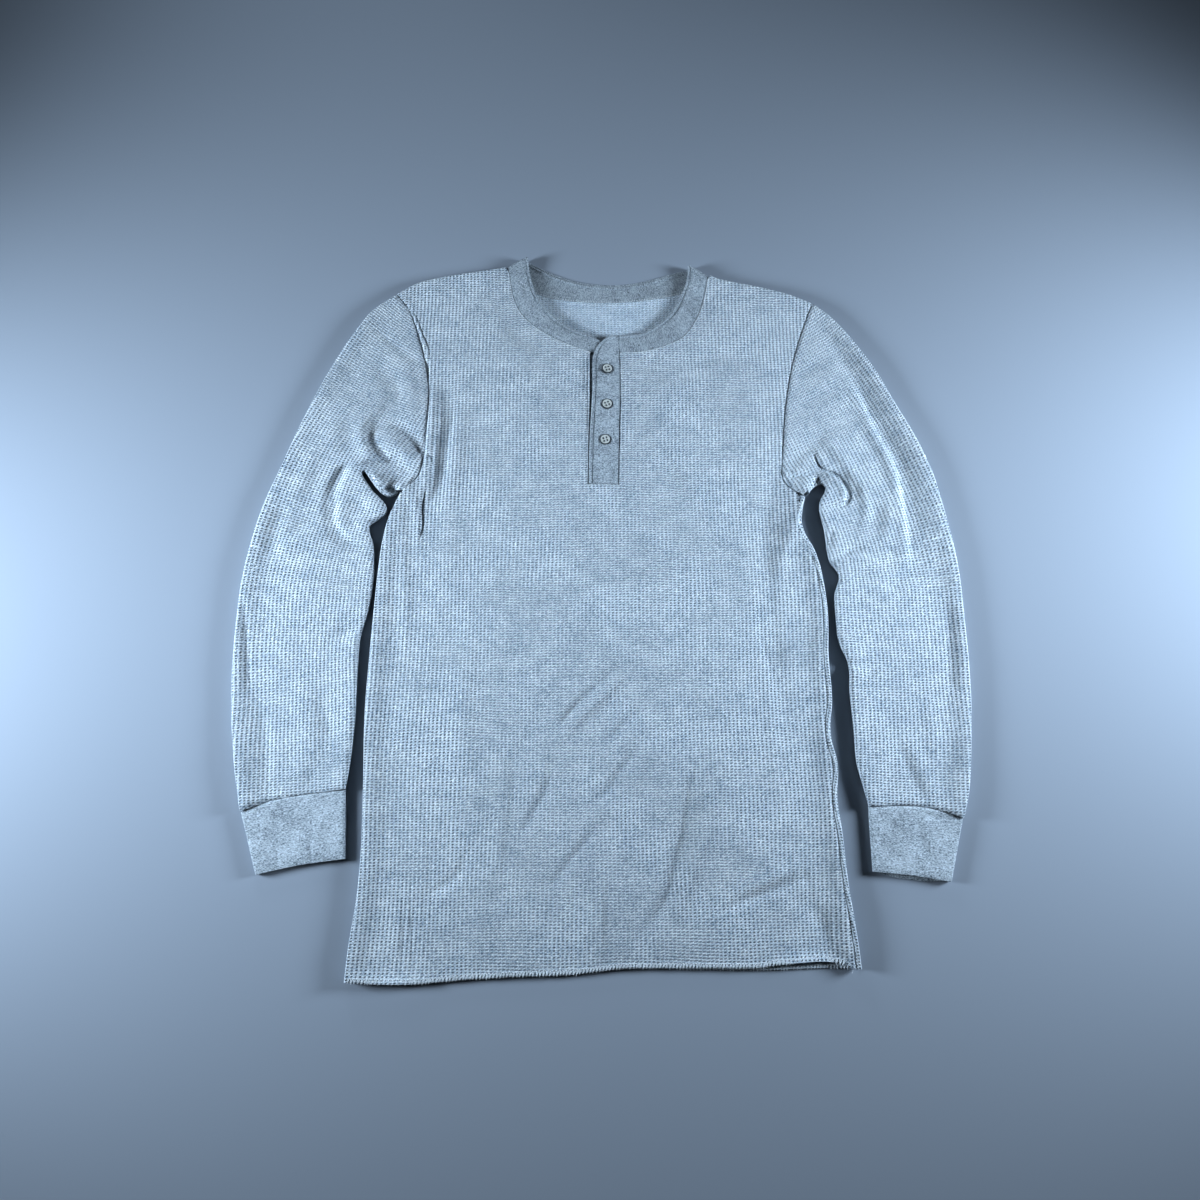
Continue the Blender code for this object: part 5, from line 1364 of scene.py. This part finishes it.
def vector(tree, operation, *values):
    """First output of a vector math node."""
    return node(tree, "ShaderNodeVectorMath", dict(enumerate(values)),
                operation=operation).outputs[0]


def noise(tree, place, scale, detail, **inputs):
    """Noise from 0 to 1 at a place."""
    return node(tree, "ShaderNodeTexNoise", {"Vector": place, "Scale": scale, "Detail": detail,
                                             **inputs}).outputs[0]


def ranged(tree, value, low, high, to_low=0.0, to_high=1.0, **settings):
    """The value carried from one range to another, and held at its ends."""
    return node(tree, "ShaderNodeMapRange", {"Value": value, "From Min": low, "From Max": high,
                                             "To Min": to_low, "To Max": to_high},
                **settings).outputs[0]


def mixed(tree, share, none, full):
    """The first colour at a share of 0, the second at 1."""
    return node(tree, "ShaderNodeMix", {0: share, 6: none, 7: full}, data_type="RGBA").outputs[2]


def object_place(tree):
    """The object's own coordinates."""
    return node(tree, "ShaderNodeTexCoord").outputs["Object"]


def new_material(name):
    """A material, its node tree and its shader."""
    made = bpy.data.materials.new(name)
    made.use_nodes = True
    return made, made.node_tree, made.node_tree.nodes["Principled BSDF"]


def heather(tree, place, light, dark):
    """Colour of a yarn spun from light and dark fibres: flecks along the rows of the knit, a few
    millimetres long, over wider and fainter clouds."""
    tone = 0.0
    for scale, weight in (((190, 560, 1), 0.30), ((520, 1400, 1), 0.76), ((55, 80, 1), 0.16),
                          ((22, 36, 1), 0.10)):
        stretched = node(tree, "ShaderNodeMapping", {"Vector": place, "Scale": scale}).outputs[0]
        flecks = noise(tree, stretched, 1.0, 2.0, Roughness=0.6)
        tone = calc(tree, "MULTIPLY_ADD", flecks, weight, tone)
    return mixed(tree, ranged(tree, tone, 0.51, 0.79), linear(dark), linear(light))


def knitted(tree, shader, colour, relief, strength, depth, **finish):
    """Finish a knit's shader: its colour, its relief and a fuzz that catches the light."""
    bump = node(tree, "ShaderNodeBump", {"Strength": strength, "Distance": depth,
                                         "Height": relief})
    feed(tree, shader, {"Base Color": colour, "Normal": bump.outputs[0],
                        "Specular IOR Level": 0.25, "Sheen Roughness": 0.6, **finish})


def waffle_knit(name, light, dark, painted_cell_shade, ridges=False):
    """Cotton and polyester thermal knit: a raised grid of yarn round small sunken cells, dull and
    a little fuzzy. The cells are darkened in colour with painted shade, which stands in for the
    shade that falls in them. A cell is 3.85 mm across the columns and 2.65 mm along them, and
    wider than it is high, with its rows climbing a little from left to right. In the middle of the
    body and at the sleeve heads the rows stand out; elsewhere the knit has been drawn lengthwise,
    and its columns do."""
    made, tree, shader = new_material(name)
    place = node(tree, "ShaderNodeUVMap", uv_map="knit").outputs[0]
    wander = node(tree, "ShaderNodeTexNoise", {"Vector": place, "Scale": 150.0, "Detail": 2.0})
    shift = vector(tree, "MULTIPLY", wander.outputs[1], (0.0009, 0.0007, 0))
    cells = vector(tree, "MULTIPLY", vector(tree, "ADD", place, shift),
                   (1 / 0.00385, 1 / 0.00265, 0))
    across = node(tree, "ShaderNodeSeparateXYZ", {0: vector(tree, "FRACTION", cells)}).outputs[0]
    slant = node(tree, "ShaderNodeCombineXYZ", {1: calc(tree, "MULTIPLY", across, -0.32)})
    leaning = vector(tree, "ADD", cells, slant.outputs[0])
    centred = vector(tree, "SUBTRACT", vector(tree, "FRACTION", leaning), (0.5, 0.5, 0))

    # how far the knit is drawn lengthwise: more beside the body's middle, less at a sleeve's head
    patches = noise(tree, place, 17.0, 3.0)
    parts = node(tree, "ShaderNodeSeparateXYZ", {0: place})
    from_middle = calc(tree, "ABSOLUTE", parts.outputs[0])
    stretched = ranged(tree, from_middle, 0.07, 0.20, -0.09, 0.12)
    on_sleeve = calc(tree, "GREATER_THAN", from_middle, 0.27)
    head = ranged(tree, parts.outputs[1], -0.26, -0.14, 0.0, -0.26)
    pull = calc(tree, "MULTIPLY_ADD", on_sleeve, head, stretched)
    drawn = calc(tree, "ADD", patches, pull)

    # an oval cell, narrower where the knit is drawn
    narrow = ranged(tree, drawn, 0.38, 0.62, *((1.9, 2.4) if ridges else (1.7, 3.0)))
    oval = node(tree, "ShaderNodeCombineXYZ", {0: narrow, 1: 3.1})
    scaled = vector(tree, "MULTIPLY", centred, oval.outputs[0])
    length = node(tree, "ShaderNodeVectorMath", {0: scaled}, operation="LENGTH").outputs[1]
    hole = ranged(tree, length, 1.10, 0.52, interpolation_type="SMOOTHSTEP")

    yarn = heather(tree, place, light, dark)
    # painted shade: each sunken cell is darkened in colour to stand in for the shade in it, more in
    # some cells than in others
    uneven = noise(tree, place, 330.0, 1.0)
    depth = ranged(tree, uneven, 0.36, 0.6, 0.68 * painted_cell_shade, painted_cell_shade)
    even = ranged(tree, drawn, 0.38, 0.62, 0.66, 1.0)
    shade = calc(tree, "MULTIPLY", hole, calc(tree, "MULTIPLY", even, depth))
    colour = mixed(tree, shade, yarn, linear("#18222f"))
    raised = calc(tree, "MULTIPLY_ADD", hole, -1.0, noise(tree, place, 2600.0, 2.0))
    knitted(tree, shader, colour, raised, 1.0, 0.0008,
            **{"Roughness": 0.92, "Sheen Weight": 0.06})
    return made


def jersey(name, light, dark):
    """Cotton and polyester single jersey, folded double: fine columns of stitches about 1.1 mm
    apart with clear heather flecks, smoother than the waffle but as dull."""
    made, tree, shader = new_material(name)
    place = node(tree, "ShaderNodeUVMap", uv_map="knit").outputs[0]
    yarn = heather(tree, place, light, dark)
    parts = node(tree, "ShaderNodeSeparateXYZ", {0: place})
    turn = calc(tree, "MULTIPLY", parts.outputs[0], 2 * math.pi / 0.0011)
    column = calc(tree, "SINE", turn)
    raised = calc(tree, "MULTIPLY_ADD", column, 0.35, noise(tree, place, 1700.0, 3.0))
    knitted(tree, shader, yarn, raised, 0.9, 0.0004,
            **{"Roughness": 0.9, "Sheen Weight": 0.12})
    return made


def cotton_thread(name, colour):
    """Spun sewing thread: dull, a little fuzzy, paler than the knit."""
    made, tree, shader = new_material(name)
    twist = noise(tree, object_place(tree), 2200.0, 2.0)
    tone = ranged(tree, twist, 0.3, 0.7, 0.35, 0.0)
    feed(tree, shader, {"Base Color": mixed(tree, tone, linear(colour), linear("#69737e")),
                        "Roughness": 0.8, "Specular IOR Level": 0.3})
    return made


def moulded_button(name):
    """Polyester shirt button, moulded and tumbled: pale warm grey with faint cloudy streaks and a
    soft shine."""
    made, tree, shader = new_material(name)
    cloud = noise(tree, object_place(tree), 420.0, 3.0, Distortion=1.5)
    feed(tree, shader, {"Base Color": mixed(tree, cloud, linear("#a7aba8"), linear("#cfd2cd")),
                        "Roughness": 0.38, "IOR": 1.54})
    return made


def button_edge_and_painted_shade(name):
    """The same polyester where it is seen through its side, darker round the rim, with painted
    shade: the contact shadow round the rim and the shade in the holes are painted into its colour."""
    made, tree, shader = new_material(name)
    feed(tree, shader, {"Base Color": linear("#2f353b"), "Roughness": 0.5, "IOR": 1.54})
    return made


def painted_floor(name):
    """Painted studio floor: pale, even and dull."""
    made, tree, shader = new_material(name)
    feed(tree, shader, {"Base Color": linear("#9199a3"), "Roughness": 0.95,
                        "Specular IOR Level": 0.1})
    return made


# ---- studio -------------------------------------------------------------------------------

def make_floor():
    """The floor that the garment lies on, outside the model."""
    bpy.ops.object.select_all(action="DESELECT")
    bpy.ops.mesh.primitive_plane_add(size=8.0, location=(0, 0, 0))
    floor = bpy.context.object
    floor.name = "floor"
    floor.data.materials.append(painted_floor("painted_floor"))


def make_light(name, size, power, place, target):
    """A round softbox with a grid, aimed at its target."""
    data = bpy.data.lights.new(name, "AREA")
    data.shape = "DISK"
    data.size = size
    data.energy = power
    data.color = linear("#d9eafb")[:3]
    data.spread = math.radians(100)
    light = linked(name, data)
    light.location = place
    light.rotation_euler = (Vector(target) - Vector(place)).to_track_quat("-Z", "Y").to_euler()


def make_studio():
    """Floor, lights and camera: low softboxes at both sides and beyond the neck."""
    make_floor()
    world = bpy.data.worlds.new("studio")
    bpy.context.scene.world = world
    world.use_nodes = True
    feed(world.node_tree, world.node_tree.nodes["Background"],
         {"Color": linear("#dfe9f4"), "Strength": 0.011})
    bpy.context.scene.view_settings.view_transform = "Standard"
    bpy.context.scene.view_settings.gamma = 0.88
    make_light("overhead", 1.2, 0.10, (0.0, 0.3, 2.2), (0, 0, 0))
    make_light("softbox_left", 0.38, 10.1, (-1.20, -0.08, 0.44), (-0.1, 0, 0))
    make_light("softbox_right", 0.38, 9.8, (1.20, 0.09, 0.44), (0.1, 0, 0))
    make_light("softbox_top", 0.30, 1.7, (-0.55, 1.45, 0.44), (0, 0, 0))
    data = bpy.data.cameras.new("camera")
    data.lens = 27
    data.sensor_width = 36
    camera = linked("camera", data)
    camera.location = (0.0, -0.242, 0.875)
    camera.rotation_euler = (math.radians(14.5), 0.0, 0.0)
    bpy.context.scene.camera = camera


# ---- the garment --------------------------------------------------------------------------

# Each piece's slot, size when flat in metres, and area in square metres
SHEETS = {
    "front": ("waffle_knit", (0.465, 0.735), 0.285),
    "back": ("waffle_knit", (0.475, 0.735), 0.308),
    "sleeve_right": ("waffle_knit", (0.300, 0.560), 0.121),
    "sleeve_left": ("waffle_knit", (0.300, 0.560), 0.118),
    "cuff_right": ("jersey", (0.205, 0.058), 0.0115),
    "cuff_left": ("jersey", (0.190, 0.058), 0.0101),
    "neckband": ("jersey", (0.0235, 0.530), 0.0120),
    "placket_under": ("jersey", (0.027, 0.148), 0.0038),
    "placket_over": ("jersey", (0.032, 0.170), 0.0050),
}


def make_cloth():
    """Every piece of cloth, by the name of its solid."""
    # the last number of each knit is the strength of the painted shade in its cells
    waffle = (waffle_knit("waffle_knit_cotton", "#f1f7fa", "#8398ab", 0.88),
              waffle_knit("waffle_knit_inside", "#edf5fb", "#93a9bb", 0.5, ridges=True))
    band = (jersey("jersey_single_cotton", "#bec8cf", "#414c55"),) * 2
    cuff = (jersey("jersey_rib_cotton", "#d0dae1", "#4a5660"),) * 2
    lines = lines_of_body()
    return {
        "front": make_front(lines, *waffle),
        "back": make_back(lines, *waffle),
        "sleeve_right": make_sleeve("right", RIGHT_SLEEVE_OUTER, RIGHT_SLEEVE_INNER,
                                    RIGHT_ARMHOLE, RIGHT_CUFF_SEAM, RIGHT_SLEEVE_COLUMN,
                                    RIGHT_SLEEVE_FOLDS, waffle),
        "sleeve_left": make_sleeve("left", LEFT_SLEEVE_OUTER, LEFT_SLEEVE_INNER, LEFT_ARMHOLE,
                                   LEFT_CUFF_SEAM, LEFT_SLEEVE_COLUMN, LEFT_SLEEVE_FOLDS,
                                   waffle),
        "cuff_right": make_cuff("right", RIGHT_CUFF_SEAM, RIGHT_CUFF_MOUTH, cuff),
        "cuff_left": make_cuff("left", LEFT_CUFF_SEAM, LEFT_CUFF_MOUTH, cuff, CUFF_LIP),
        "neckband": make_neckband(band),
        "placket_under": make_strip("cloth_placket_under", UNDER_STRIP, UNDER_TOP, (), band),
        "placket_over": make_strip("cloth_placket_over", OVER_STRIP, PLACKET_TOP,
                                   PLACKET_PUCKERS, band, free_edge_of_placket()),
    }


def dress():
    """The whole garment: cloth, stitching and buttons."""
    cloth = make_cloth()
    stitch_all(cloth)
    plastic = moulded_button("moulded_polyester_button")
    # darker edge of the buttons, with painted shade round the rim and in the holes
    dark = button_edge_and_painted_shade("moulded_polyester_edge_and_painted_shade")
    thread = cotton_thread("cotton_thread_button", "#d5dade")
    for k, place in enumerate(BUTTONS):
        button = make_button(f"shirt_button_{k + 1}", place, BUTTON_BOTTOM, plastic, dark)
        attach(button, "root")
        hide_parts(f"button_{k + 1}")
        holding = sew_button(f"button_thread_{k + 1}", place, BUTTON_BOTTOM, thread)
        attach(holding, "root")
    for solid, (slot, flat, area) in SHEETS.items():
        piece = cloth[solid]
        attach(piece, "root")
        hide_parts(solid)


dress()
make_studio()
